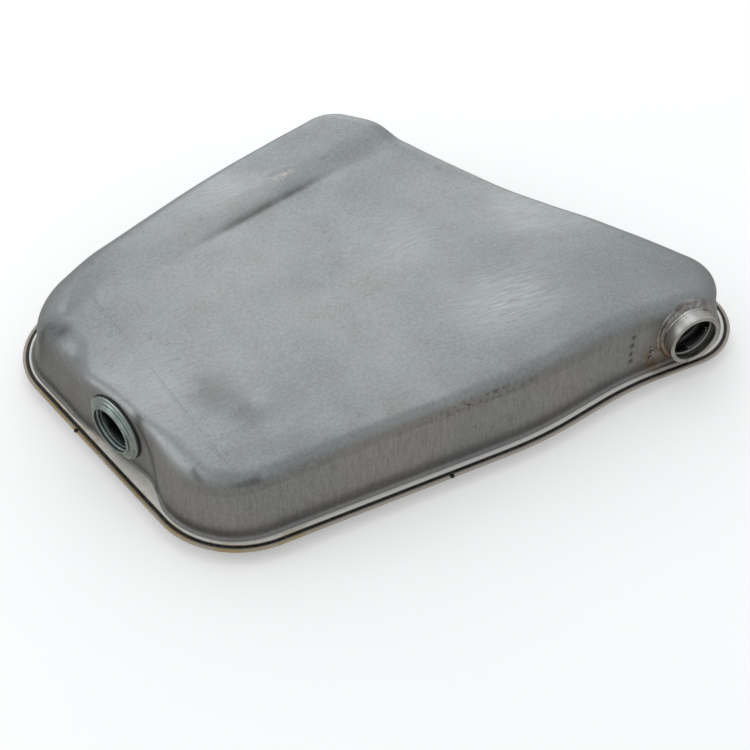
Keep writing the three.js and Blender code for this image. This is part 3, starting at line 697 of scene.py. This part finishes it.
def drop(name, at, size, seed):
    """Lumpy drop of weld metal."""
    bpy.ops.mesh.primitive_ico_sphere_add(subdivisions=4, radius=1)
    ball = bpy.context.object
    co = np.array([v.co for v in ball.data.vertices])
    faces = [tuple(f.vertices) for f in ball.data.polygons]
    bpy.data.objects.remove(ball)
    lump = 1 - LUMPS + LUMPS * waves(co[:, 0], co[:, 1], co[:, 2], 1.6, seed)
    points = co * lump[:, None] * np.array(size) + np.array(at)
    return make_object(name, points, faces, sharp=180)


# ---------------- turned pieces

# The port's axis is square to its seat, so it is turned by the seat's skew.
_turned = np.array([SEAT["skew"] * math.cos(_left) - SEAT_IN[0],
                    SEAT["skew"] * math.sin(_left) - SEAT_IN[1], 0.0])
PORT_AXIS = tuple(_turned / np.linalg.norm(_turned))
PORT_AT = (SEAT_EDGE[0] + SEAT_IN[0] * SEAT["inset"], SEAT_EDGE[1] + SEAT_IN[1] * SEAT["inset"], PORT_Z)


def around(at, axis, radius, distance, angle):
    """Points at a radius and angle about a level axis, a distance out along it."""
    side = np.array([axis[1], -axis[0], 0.0])
    angle = np.asarray(angle)[:, None]
    return (np.array(at) + side * np.sin(angle) * radius + np.array(axis) * distance
            + np.array([0, 0, 1.0]) * np.cos(angle) * radius)


def rounded(profile, bevel):
    """The closed profile with each corner cut back by bevel and eased with a middle point."""
    out = []
    n = len(profile)
    for i in range(n):
        p0, p1, p2 = (np.array(profile[(i + k) % n], float) for k in (-1, 0, 1))
        to0, to2 = p0 - p1, p2 - p1
        cut0 = min(bevel, 0.45 * np.linalg.norm(to0))
        cut2 = min(bevel, 0.45 * np.linalg.norm(to2))
        a, b = p1 + to0 / np.linalg.norm(to0) * cut0, p1 + to2 / np.linalg.norm(to2) * cut2
        out += [a, (a + b + p1 * 1.4) / 3.4, b]
    return out


def turned(name, profile, at, axis, bevel=0.25, segments=144):
    """Lathe of a closed profile of (radius, distance) about a level axis. The mask "bore", painted shade,
    grows from the mouth inwards on the faces that line the bore."""
    mouth = max(h for _, h in profile)
    middle = (min(r for r, _ in profile) + max(r for r, _ in profile)) / 2
    angle = np.arange(segments) * 2 * math.pi / segments
    rings, bore = [], []
    for r, h in rounded(profile, bevel):
        rings.append(around(at, axis, r, h, angle))
        bore.append(np.full(segments, float(smooth((mouth - h - 3) / 9)) * (r < middle)))
    points, faces = loft(rings, True)
    return make_object(name, points, faces, sharp=32, masks=dict(bore=np.concatenate(bore)))


LUG_STEPS = 24


def lug(name, inner, outer, start_at, end_at, start, sweep, at, axis):
    """Arc-shaped bar about a level axis, with eased ends."""
    rings = []
    for k in range(LUG_STEPS + 1):
        t = k / LUG_STEPS
        ease = math.sqrt(max(0.0, 1 - (2 * t - 1) ** 8))
        mid_r, mid_h = (inner + outer) / 2, (start_at + end_at) / 2
        half_r, half_h = (outer - inner) / 2, (end_at - start_at) / 2 * (0.35 + 0.65 * ease)
        corner = [(mid_r - half_r, mid_h - half_h), (mid_r + half_r, mid_h - half_h),
                  (mid_r + half_r, mid_h + half_h), (mid_r - half_r, mid_h + half_h)]
        a = np.array([start + sweep * t])
        rings.append(np.concatenate([around(at, axis, r, h, a) for r, h in rounded(corner, 0.3)]))
    points, faces = loft(rings, False, (rings[0].mean(0), rings[-1].mean(0)))
    return make_object(name, points, faces, sharp=35)


# ---------------- neck welds

def near_wall():
    """Sections of the near wall round the neck, for laying the weld on it."""
    probe = stations(2.5)
    x, y, _, _ = edge_at(probe)
    run = np.sort(probe[(x > 300) & (y < 70)])
    edge, rows = upper_section(run)
    inset = np.stack([row[0] for row in rows[2:]], 1)
    height = np.stack([row[1] for row in rows[2:]], 1)
    return edge, inset, height


NEAR_EDGE, NEAR_INSET, NEAR_HEIGHT = near_wall()
BURN_ANGLE = 3.9  # the weld is burnt brown at the lower left
WELD_LUMP = dict(angle=0.95, spread=0.22, height=0.35)  # build-up at the top right
BEAD_RADIUS = 26
TRACKS = 72  # lines along the wall that the weld is laid between


def near_wall_y(px, pz):
    """Plan y of the near wall's outer face at (x, z)."""
    x, y, nx, ny = NEAR_EDGE
    inset = np.array([np.interp(pz, h, d) for h, d in zip(NEAR_HEIGHT, NEAR_INSET)])
    lx, ly = x + nx * inset, y + ny * inset
    order = np.argsort(lx)
    return np.interp(px, lx[order], ly[order])


def wall_track(angle):
    """Points of the near wall going straight out from the tube at an angle, and how far
    along the wall each lies from the tube."""
    radius = np.linspace(NECK["outer"] + 0.05, NECK["outer"] + 12, 30)
    px = NECK["x"] + radius * math.cos(angle)
    pz = np.maximum(NECK["z"] + radius * math.sin(angle), SHEET + LAND_RISE + 0.2)
    py = np.array([float(near_wall_y(a, b)) for a, b in zip(px, pz)])
    track = np.stack([px, py, pz], 1)
    reach = np.concatenate([[0], np.cumsum(np.linalg.norm(np.diff(track, axis=0), axis=1))])
    return track, reach


def neck_bead(name, section, start, sweep, steps, pitch, ripple, seed):
    """Weld bead round the neck: section holds (distance along the wall, height along the tube)."""
    full = sweep > 6.28
    tracks = [wall_track(start + sweep * k / TRACKS) for k in range(TRACKS + 1)]
    rings, tint = [], []
    for k in range(steps + (0 if full else 1)):
        t = TRACKS * k / steps
        low = min(int(t), TRACKS - 1)
        share = t - low
        track = tracks[low][0] * (1 - share) + tracks[low + 1][0] * share
        reach = tracks[low][1] * (1 - share) + tracks[low + 1][1] * share
        a = start + sweep * k / steps
        phase = (a * BEAD_RADIUS / pitch) % 1.0
        swell = 1 + ripple * (math.sqrt(1 - (2 * phase - 1) ** 2) - 0.6)
        swell += 0.16 * float(waves(BEAD_RADIUS * math.cos(a), BEAD_RADIUS * math.sin(a), 0.0, 17, seed))
        swell += WELD_LUMP["height"] * float(bell(a - WELD_LUMP["angle"], WELD_LUMP["spread"]))
        if not full:
            swell *= 0.35 + 0.65 * float(smooth(np.array(min(k, steps - k) / 5)))
        ring = []
        for along_wall, height in section:
            out = section[0][0] + (along_wall - section[0][0]) * (1 + (swell - 1) * 0.5)
            place = np.array([np.interp(out, reach, track[:, c]) for c in range(3)])
            place[1] -= height * (swell if height > 0 else 1)
            ring.append(place)
        rings.append(np.array(ring))
        tint.append(np.full(len(section), float(bell(a % (2 * math.pi) - BURN_ANGLE, 0.8))))
    if full:
        points, faces = loft(rings, True)
    else:
        points, faces = loft(rings, False, (rings[0].mean(0), rings[-1].mean(0)))
        tint.append(np.zeros(2))
    return make_object(name, points, faces, sharp=50, masks=dict(tint=np.concatenate(tint)))


# ---------------- materials

class Nodes:
    """A material's node tree, with short ways to add nodes."""

    def __init__(self, name):
        self.material = bpy.data.materials.new(name)
        self.material.use_nodes = True
        self.tree = self.material.node_tree
        self.tree.nodes.clear()
        self.shader = self.new("BsdfPrincipled")
        self.link(self.shader.outputs[0], self.new("OutputMaterial").inputs[0])
        self.coord = self.new("TexCoord").outputs["Object"]

    def new(self, kind):
        return self.tree.nodes.new("ShaderNode" + kind)

    def link(self, a, b):
        self.tree.links.new(a, b)

    def put(self, socket, value):
        if hasattr(value, "node"):
            self.link(value, socket)
        else:
            socket.default_value = value

    def math(self, kind, a, b=0.0, clamp=False):
        node = self.new("Math")
        node.operation = kind
        node.use_clamp = clamp
        self.put(node.inputs[0], a)
        self.put(node.inputs[1], b)
        return node.outputs[0]

    def times(self, a, b):
        return self.math("MULTIPLY", a, b)

    def mask(self, name):
        node = self.new("Attribute")
        node.attribute_name = name
        return node.outputs["Fac"]

    def stretch(self, sx, sy, sz, turn=0.0):
        node = self.new("Mapping")
        node.inputs["Scale"].default_value = (sx, sy, sz)
        node.inputs["Rotation"].default_value = (0, 0, turn)
        self.link(self.coord, node.inputs["Vector"])
        return node.outputs[0]

    def noise(self, scale, detail=3.0, rough=0.5, vector=None):
        node = self.new("TexNoise")
        node.inputs["Scale"].default_value = scale
        node.inputs["Detail"].default_value = detail
        node.inputs["Roughness"].default_value = rough
        self.link(vector or self.coord, node.inputs["Vector"])
        return node.outputs["Fac"]

    def ramp(self, value, low, high, to_low=0.0, to_high=1.0):
        node = self.new("MapRange")
        node.interpolation_type = "SMOOTHSTEP"
        self.put(node.inputs["Value"], value)
        for key, number in (("From Min", low), ("From Max", high), ("To Min", to_low), ("To Max", to_high)):
            node.inputs[key].default_value = number
        return node.outputs[0]

    def mix(self, factor, a, b):
        node = self.new("Mix")
        node.data_type = "RGBA"
        self.put(node.inputs["Factor"], factor)
        for socket, value in ((node.inputs[6], a), (node.inputs[7], b)):
            if isinstance(value, tuple):
                socket.default_value = (*value, 1.0)
            else:
                self.link(value, socket)
        return node.outputs[2]

    def bump(self, height, strength, distance, normal=None):
        node = self.new("Bump")
        node.inputs["Strength"].default_value = strength
        node.inputs["Distance"].default_value = distance
        self.link(height, node.inputs["Height"])
        if normal is not None:
            self.link(normal, node.inputs["Normal"])
        return node.outputs[0]

    def done(self, color, roughness, metallic=1.0, normal=None):
        self.link(color, self.shader.inputs["Base Color"])
        self.put(self.shader.inputs["Roughness"], roughness)
        self.put(self.shader.inputs["Metallic"], metallic)
        if normal is not None:
            self.link(normal, self.shader.inputs["Normal"])
        return self.material


STEEL = (0.345, 0.360, 0.358)
STEEL_WARM_REFLECTION = (0.380, 0.370, 0.355)
STEEL_BLUE = (0.31, 0.335, 0.345)
STEEL_DULL = (0.335, 0.325, 0.310)
STEEL_DARK = (0.16, 0.155, 0.15)
STEEL_LIGHT = (0.56, 0.58, 0.58)


def scratch_pair(m):
    """Two fine lines drawn over the top from the roll to the near-left corner."""
    ax, ay = (-43 * MM + SHIFT[0], 266 * MM + SHIFT[1])
    bx, by = (-9 * MM + SHIFT[0], 18 * MM + SHIFT[1])
    long = math.hypot(bx - ax, by - ay)
    ux, uy = (bx - ax) / long, (by - ay) / long
    split = m.new("SeparateXYZ")
    m.link(m.coord, split.inputs[0])
    dx = m.math("SUBTRACT", split.outputs["X"], ax)
    dy = m.math("SUBTRACT", split.outputs["Y"], ay)
    off = m.math("SUBTRACT", m.times(dx, uy), m.times(dy, ux))
    run = m.math("ADD", m.times(dx, ux), m.times(dy, uy))
    total = None
    for place, width, depth in ((0.0, 0.26 * MM, 0.9), (2.0 * MM, 0.22 * MM, 0.5)):
        away = m.math("ABSOLUTE", m.math("SUBTRACT", off, place))
        line = m.ramp(away, width * 0.4, width * 1.6, depth, 0.0)
        total = line if total is None else m.math("MAXIMUM", total, line)
    ends = m.times(m.ramp(run, 0.0, 0.02), m.ramp(run, long - 0.03, long, 1.0, 0.0))
    high = m.ramp(split.outputs["Z"], 0.052, 0.060)
    patchy = m.ramp(m.noise(60, 3), 0.35, 0.6, 0.35, 1.0)
    return m.times(m.times(total, patchy), m.times(ends, high))


def raw_steel():
    """Bare drawn sheet: satin, mottled, draw marks, rub marks, heat tint, painted shade and highlights."""
    m = Nodes("raw_steel")
    names = ("wall", "foot_shade", "flange", "land", "painted_shade", "brushed_highlight", "scuff", "burn", "straw")
    wall, foot_shade, flange, land, painted_shade, brushed_highlight, scuff, burn, straw = (m.mask(name) for name in names)
    cloud = m.noise(9, 4, 0.55)
    patch = m.noise(28, 5, 0.6)
    grain = m.noise(420, 2, 0.6)
    speck = m.noise(160, 6, 0.7)
    drawn = m.noise(1.0, 4, 0.65, m.stretch(620, 620, 26))
    hatch_a = m.noise(1.0, 3, 0.6, m.stretch(60, 900, 300, 0.9))
    hatch_b = m.noise(1.0, 3, 0.6, m.stretch(60, 900, 300, -0.7))
    color = m.mix(m.ramp(cloud, 0.36, 0.66), STEEL, STEEL_BLUE)
    color = m.mix(m.times(m.ramp(patch, 0.45, 0.75), 0.45), color, STEEL_DULL)
    # Painted reflection: the walls are tinted warm, as the brownish ground they face would show in them.
    color = m.mix(m.times(wall, m.ramp(cloud, 0.3, 0.6, 0.75, 0.35)), color, STEEL_WARM_REFLECTION)
    color = m.mix(m.times(m.ramp(grain, 0.35, 0.7), 0.22), color, STEEL_LIGHT)
    color = m.mix(m.times(m.ramp(speck, 0.56, 0.72), 0.35), color, STEEL_DARK)
    streak = m.times(wall, m.ramp(drawn, 0.42, 0.66, 0.0, 0.28))
    color = m.mix(streak, color, STEEL_DARK)
    # Brushed patches with cross hatching, lightened further as painted highlights, the dish's highlight
    # among them.
    light = m.times(brushed_highlight, m.ramp(m.math("ADD", hatch_a, hatch_b), 0.75, 1.25, 0.2, 0.9))
    color = m.mix(light, color, STEEL_LIGHT)
    # Painted shade: this mask darkens creases, hollows and the darker sides in the colour.
    painted_dark = m.times(painted_shade, m.ramp(patch, 0.3, 0.6, 0.55, 0.95))
    color = m.mix(painted_dark, color, (0.075, 0.07, 0.068))
    rub = m.times(scuff, m.ramp(m.noise(230, 5, 0.75), 0.50, 0.60))
    color = m.mix(rub, color, (0.09, 0.08, 0.07))
    # Painted shade darkening the wall's foot.
    color = m.mix(m.times(foot_shade, 0.5), color, (0.11, 0.10, 0.095))
    # The land is painted pale and made less metallic: burnished metal, and a painted highlight along the
    # land.
    color = m.mix(m.times(land, 0.9), color, (0.88, 0.87, 0.83))
    color = m.mix(m.times(flange, 0.85), color, (0.47, 0.42, 0.36))
    edge = m.math("MAXIMUM", flange, m.times(land, 0.6))
    uneven = m.ramp(m.noise(70, 4, 0.6), 0.38, 0.58, 0.2, 1.0)
    tint = m.times(m.times(straw, edge), uneven)
    color = m.mix(tint, color, (0.42, 0.30, 0.12))
    scorch = m.times(burn, m.ramp(m.noise(110, 4, 0.65), 0.35, 0.6, 0.15, 1.0))
    color = m.mix(scorch, color, (0.22, 0.14, 0.07))
    rubbed = m.times(m.mask("bare"), m.ramp(m.noise(260, 4, 0.7), 0.42, 0.6, 0.0, 0.8))
    color = m.mix(rubbed, color, (0.72, 0.62, 0.52))
    line = scratch_pair(m)
    color = m.mix(m.times(line, 0.55), color, (0.12, 0.12, 0.12))
    # Painted shade: the inside faces near black.
    color = m.mix(m.times(m.mask("inner"), 0.94), color, (0.012, 0.011, 0.010))
    rough = m.math("ADD", m.ramp(cloud, 0.3, 0.7, 0.40, 0.50), m.ramp(patch, 0.3, 0.7, -0.03, 0.05))
    rough = m.math("ADD", rough, m.times(painted_dark, 0.15))
    rough = m.math("SUBTRACT", rough, m.times(light, 0.10))
    rough = m.math("SUBTRACT", rough, m.times(land, 0.10), clamp=True)
    peel = m.bump(patch, 0.25, 0.0012)
    marks = m.bump(m.times(wall, drawn), 0.35, 0.0003, peel)
    fine = m.bump(m.math("ADD", grain, m.times(line, -2.0)), 0.22, 0.0002, marks)
    metal = m.math("SUBTRACT", 1.0, m.times(m.math("MAXIMUM", flange, land), 0.7))
    return m.done(color, rough, metal, fine)


def seam_steel():
    """Dark roller-weld track with a bluish burn."""
    m = Nodes("seam_steel")
    spots = m.noise(240, 4, 0.6)
    color = m.mix(m.ramp(spots, 0.35, 0.7), (0.030, 0.033, 0.035), (0.085, 0.085, 0.082))
    color = m.mix(m.ramp(m.noise(24, 3), 0.5, 0.75, 0.0, 0.5), color, (0.10, 0.075, 0.05))
    return m.done(color, m.ramp(spots, 0.3, 0.7, 0.45, 0.7), 1.0, m.bump(spots, 0.4, 0.0003))


def weld_metal():
    """Rippled weld metal, pale with straw and brown tints."""
    m = Nodes("weld_metal")
    cloud = m.noise(70, 4, 0.6)
    fine = m.noise(380, 4, 0.65)
    color = m.mix(m.ramp(cloud, 0.35, 0.65), (0.42, 0.42, 0.41), (0.21, 0.19, 0.18))
    color = m.mix(m.times(m.mask("tint"), 0.7), color, (0.34, 0.22, 0.10))
    color = m.mix(m.times(m.ramp(fine, 0.5, 0.7), 0.6), color, (0.10, 0.085, 0.07))
    return m.done(color, m.ramp(cloud, 0.3, 0.7, 0.30, 0.52), 1.0, m.bump(fine, 0.5, 0.0006))


def machined_steel():
    """Turned steel: pale, fine rings round the neck's axis, straw-tinted by the weld, painted shade down the
    bore.
    """
    m = Nodes("machined_steel")
    lathe = m.noise(1.0, 3, 0.6, m.stretch(30, 1500, 30))
    cloud = m.noise(55, 4, 0.6)
    dirt = m.noise(150, 5, 0.7)
    color = m.mix(m.ramp(lathe, 0.35, 0.65), (0.60, 0.60, 0.58), (0.42, 0.43, 0.42))
    color = m.mix(m.times(m.ramp(cloud, 0.48, 0.72), 0.4), color, (0.36, 0.29, 0.20))
    color = m.mix(m.times(m.ramp(dirt, 0.58, 0.72), 0.6), color, (0.12, 0.11, 0.09))
    # Painted shade down the bore.
    color = m.mix(m.times(m.mask("bore"), 0.8), color, (0.03, 0.042, 0.045))
    rough = m.math("ADD", m.ramp(cloud, 0.3, 0.7, 0.24, 0.40), m.ramp(dirt, 0.5, 0.7, 0.0, 0.15))
    return m.done(color, rough, 1.0, m.bump(lathe, 0.25, 0.0002))


def zinc_plated():
    """Zinc plating with a blue-green cast and dull, stained patches, and painted shade down the bore."""
    m = Nodes("zinc_plated")
    cloud = m.noise(90, 4, 0.6)
    spots = m.noise(320, 4, 0.7)
    color = m.mix(m.ramp(cloud, 0.35, 0.65), (0.44, 0.50, 0.48), (0.30, 0.36, 0.35))
    color = m.mix(m.times(m.ramp(spots, 0.55, 0.72), 0.7), color, (0.10, 0.115, 0.11))
    # Painted shade down the bore.
    color = m.mix(m.times(m.mask("bore"), 0.8), color, (0.03, 0.035, 0.034))
    return m.done(color, m.ramp(cloud, 0.3, 0.7, 0.26, 0.44), 1.0, m.bump(spots, 0.3, 0.0002))


def rubber():
    """Matt black seal with dust in it."""
    m = Nodes("rubber")
    dust = m.noise(300, 4, 0.6)
    color = m.mix(m.ramp(dust, 0.4, 0.8), (0.012, 0.012, 0.013), (0.05, 0.048, 0.045))
    return m.done(color, m.ramp(dust, 0.3, 0.8, 0.55, 0.85), 0.0, m.bump(dust, 0.3, 0.0002))


def pale_floor():
    m = Nodes("pale_floor")
    color = m.mix(m.noise(3, 3), (0.95, 0.95, 0.95), (0.98, 0.98, 0.98))
    m.link(color, m.shader.inputs["Emission Color"])
    m.shader.inputs["Emission Strength"].default_value = 0.24
    return m.done(color, 0.85, 0.0)


# ---------------- the pieces

def dress(obj, material, slot, *nodes):
    obj.data.materials.clear()
    obj.data.materials.append(material)
    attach(obj, "root")
    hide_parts(*nodes)
    return obj


RAW, SEAM, WELD = raw_steel(), seam_steel(), weld_metal()
MACHINED, ZINC, RUBBER = machined_steel(), zinc_plated(), rubber()

dress(upper_shell(), RAW, "raw_steel", "upper_shell")
dress(lower_shell(), RAW, "raw_steel", "lower_shell")
for node, side in (("seam_weld_upper", 1), ("seam_weld_lower", -1)):
    dress(seam_track(node + "_fine", side), SEAM, "seam_steel", node)
for node, x, y, seed in (("seam_bead_left", -88, 168, 5), ("seam_bead_near", 150, 1, 6)):
    dress(edge_bead(node + "_fine", x, y, seed), SEAM, "seam_steel", node)

# Sections of the turned pieces: (radius, distance out along the axis).
GASKET = [(20, 0.35), (27.6, 0.35), (27.6, 1.1), (20, 1.1)]
FLANGE = [(18.6, 1.3), (27, 1.3), (27, 3.0), (24.2, 3.0), (23.8, 3.9), (21.4, 3.9), (20.6, 4.8), (20.6, 6.7),
          (18.6, 6.7), (18.6, 4.7), (19.3, 4.4), (19.3, 3.5), (18.6, 3.2)]
SLEEVE = [(16.4, -5), (18.2, -5), (18.2, 1.6), (16.4, 1.6)]
CLAMP = [(18.8, -6.2), (25, -6.2), (25, -1.6), (18.8, -1.6)]
dress(turned("port_gasket_fine", GASKET, PORT_AT, PORT_AXIS, 0.2), RUBBER, "rubber", "port_gasket")
for node, profile, bevel in (("port_flange", FLANGE, 0.35), ("port_sleeve", SLEEVE, 0.4),
                             ("port_clamp_ring", CLAMP, 0.5)):
    dress(turned(node + "_fine", profile, PORT_AT, PORT_AXIS, bevel), ZINC, "zinc_plated", node)
for k, node in enumerate(("port_lug_lower", "port_lug_upper")):
    piece = lug(node + "_fine", 14.4, 16.1, -1.6, 0.4, 3.6 - k * math.pi, 0.75, PORT_AT, PORT_AXIS)
    dress(piece, ZINC, "zinc_plated", node)

OUTER, BORE, END = NECK["outer"], NECK["bore"], -NECK["length"]
TUBE = [(OUTER, END), (OUTER, -11.5), (22.3, -11.0), (22.3, -10.2), (OUTER, -9.7), (OUTER, 0), (BORE, 0),
        (BORE, -4.5), (20.2, -5.2), (20.2, -8.0), (BORE, -8.7), (BORE, -16), (20, -17), (20, END)]
STOP = [(16.8, -26), (19.6, -26), (19.6, -24), (16.8, -24)]
for node, profile, bevel in (("neck_tube", TUBE, 0.45), ("neck_stop_ring", STOP, 0.4)):
    dress(turned(node + "_fine", profile, NECK_AT, NECK_AXIS, bevel), MACHINED, "machined_steel", node)
for k, node in enumerate(("neck_lug_right", "neck_lug_left")):
    piece = lug(node + "_fine", 17.2, 18.6, -15.8, -9, 3.25 - k * math.pi, 1.35, NECK_AT, NECK_AXIS)
    dress(piece, MACHINED, "machined_steel", node)

BEAD_IN = [(0, -0.8), (3.3, -0.8), (3.3, 0.3), (2.9, 1.3), (2.3, 2.2), (1.5, 2.9), (0.7, 3.3), (0, 3.3)]
BEAD_OUT = [(2.8, -0.8), (5.6, -0.8), (5.6, 0.1), (5.2, 0.7), (4.6, 1.1), (3.9, 1.3), (3.2, 1.2), (2.8, 0.9)]
bead_in = neck_bead("neck_weld_inner_fine", BEAD_IN, 0, 2 * math.pi, 360, 3.4, 0.10, 11)
bead_out = neck_bead("neck_weld_outer_fine", BEAD_OUT, -0.35, 3.84, 220, 3.0, 0.16, 12)
dress(bead_in, WELD, "weld_metal", "neck_weld_inner")
dress(bead_out, WELD, "weld_metal", "neck_weld_outer")
SPATTER = [(-31.5, -9, 1.7), (-33.2, -14, 1.3), (-32.6, -5, 1.1)]  # place from the neck's axis, and radius
for k, (dx, dz, r) in enumerate(SPATTER):
    node = f"neck_spatter_{k + 1}"
    px, pz = NECK["x"] + dx, NECK["z"] + dz
    at = (px, near_wall_y(px, pz) - r * 0.5, pz)
    dress(drop(node + "_fine", at, (r * 1.2, r * 0.9, r * 1.1), 20 + k), WELD, "weld_metal", node)

# ---------------- floor, light and camera

bpy.ops.mesh.primitive_plane_add(size=8, location=(0, 0, CAD_BOX[0].z - 0.0005))
floor = bpy.context.object
floor.name = "floor"
floor.data.materials.append(pale_floor())
floor.visible_glossy = False


def studio_world():
    """Soft studio surroundings: brightest half way up, dimmer overhead and below."""
    world = bpy.data.worlds.new("studio")
    bpy.context.scene.world = world
    world.use_nodes = True
    tree = world.node_tree
    tree.nodes.clear()
    kinds = ("OutputWorld", "Background", "TexCoord", "SeparateXYZ", "MapRange", "ValToRGB")
    out, back, coord, split, span, ramp = (tree.nodes.new("ShaderNode" + kind) for kind in kinds)
    span.inputs["From Min"].default_value = -1
    for a, b in ((coord.outputs["Generated"], split.inputs[0]), (split.outputs["Z"], span.inputs["Value"]),
                 (span.outputs[0], ramp.inputs[0]), (ramp.outputs[0], back.inputs[0]),
                 (back.outputs[0], out.inputs[0])):
        tree.links.new(a, b)
    stops = [(0.0, (0.54, 0.52, 0.50)), (0.42, (0.48, 0.46, 0.44)), (0.5, (0.46, 0.46, 0.46)),
             (0.62, (0.66, 0.68, 0.69)), (0.82, (0.65, 0.66, 0.67)), (0.96, (0.62, 0.63, 0.64)),
             (1.0, (0.50, 0.51, 0.52))]
    while len(ramp.color_ramp.elements) < len(stops):
        ramp.color_ramp.elements.new(0.5)
    for element, (place, tone) in zip(ramp.color_ramp.elements, stops):
        element.position = place
        element.color = (*tone, 1.0)
    back.inputs["Strength"].default_value = 1.0


def area_light(name, place, target, width, power):
    data = bpy.data.lights.new(name, "AREA")
    data.size = width
    data.energy = power
    light = add_object(name, data)
    light.location = place
    light.rotation_euler = (Vector(target) - Vector(place)).to_track_quat("-Z", "Y").to_euler()


CENTRE = (CAD_BOX[0] + CAD_BOX[1]) / 2
studio_world()
for name, place, width, power in (
    ("overhead", (0.2, 0.5, 2.0), 1.6, 4), ("right_back", (0.3, 2.0, 1.5), 1.6, 3),
    ("low_back", (0.9, 1.9, 0.5), 1.4, 5), ("left_back", (-1.8, 0.6, 1.0), 1.2, 4),
):
    area_light(name, place, CENTRE, width, power)

# The camera looks at a place in the plan frame, in millimetres; its distance is in metres.
CAMERA = dict(azimuth=-26, elevation=45, distance=1.151, lens=72, target=(133.2, 97.7, 28))


def place_camera():
    data = bpy.data.cameras.new("camera")
    data.lens = CAMERA["lens"]
    data.sensor_width = 36.0
    camera = add_object("camera", data)
    a, e = math.radians(CAMERA["azimuth"]), math.radians(CAMERA["elevation"])
    back = Vector((math.sin(a) * math.cos(e), -math.cos(a) * math.cos(e), math.sin(e)))
    target = Vector((np.array(CAMERA["target"]) * MM + SHIFT).tolist())
    camera.location = target + back * CAMERA["distance"]
    camera.rotation_euler = (math.pi / 2 - e, 0, a)
    bpy.context.scene.camera = camera


place_camera()
bpy.context.scene.view_settings.view_transform = "Standard"
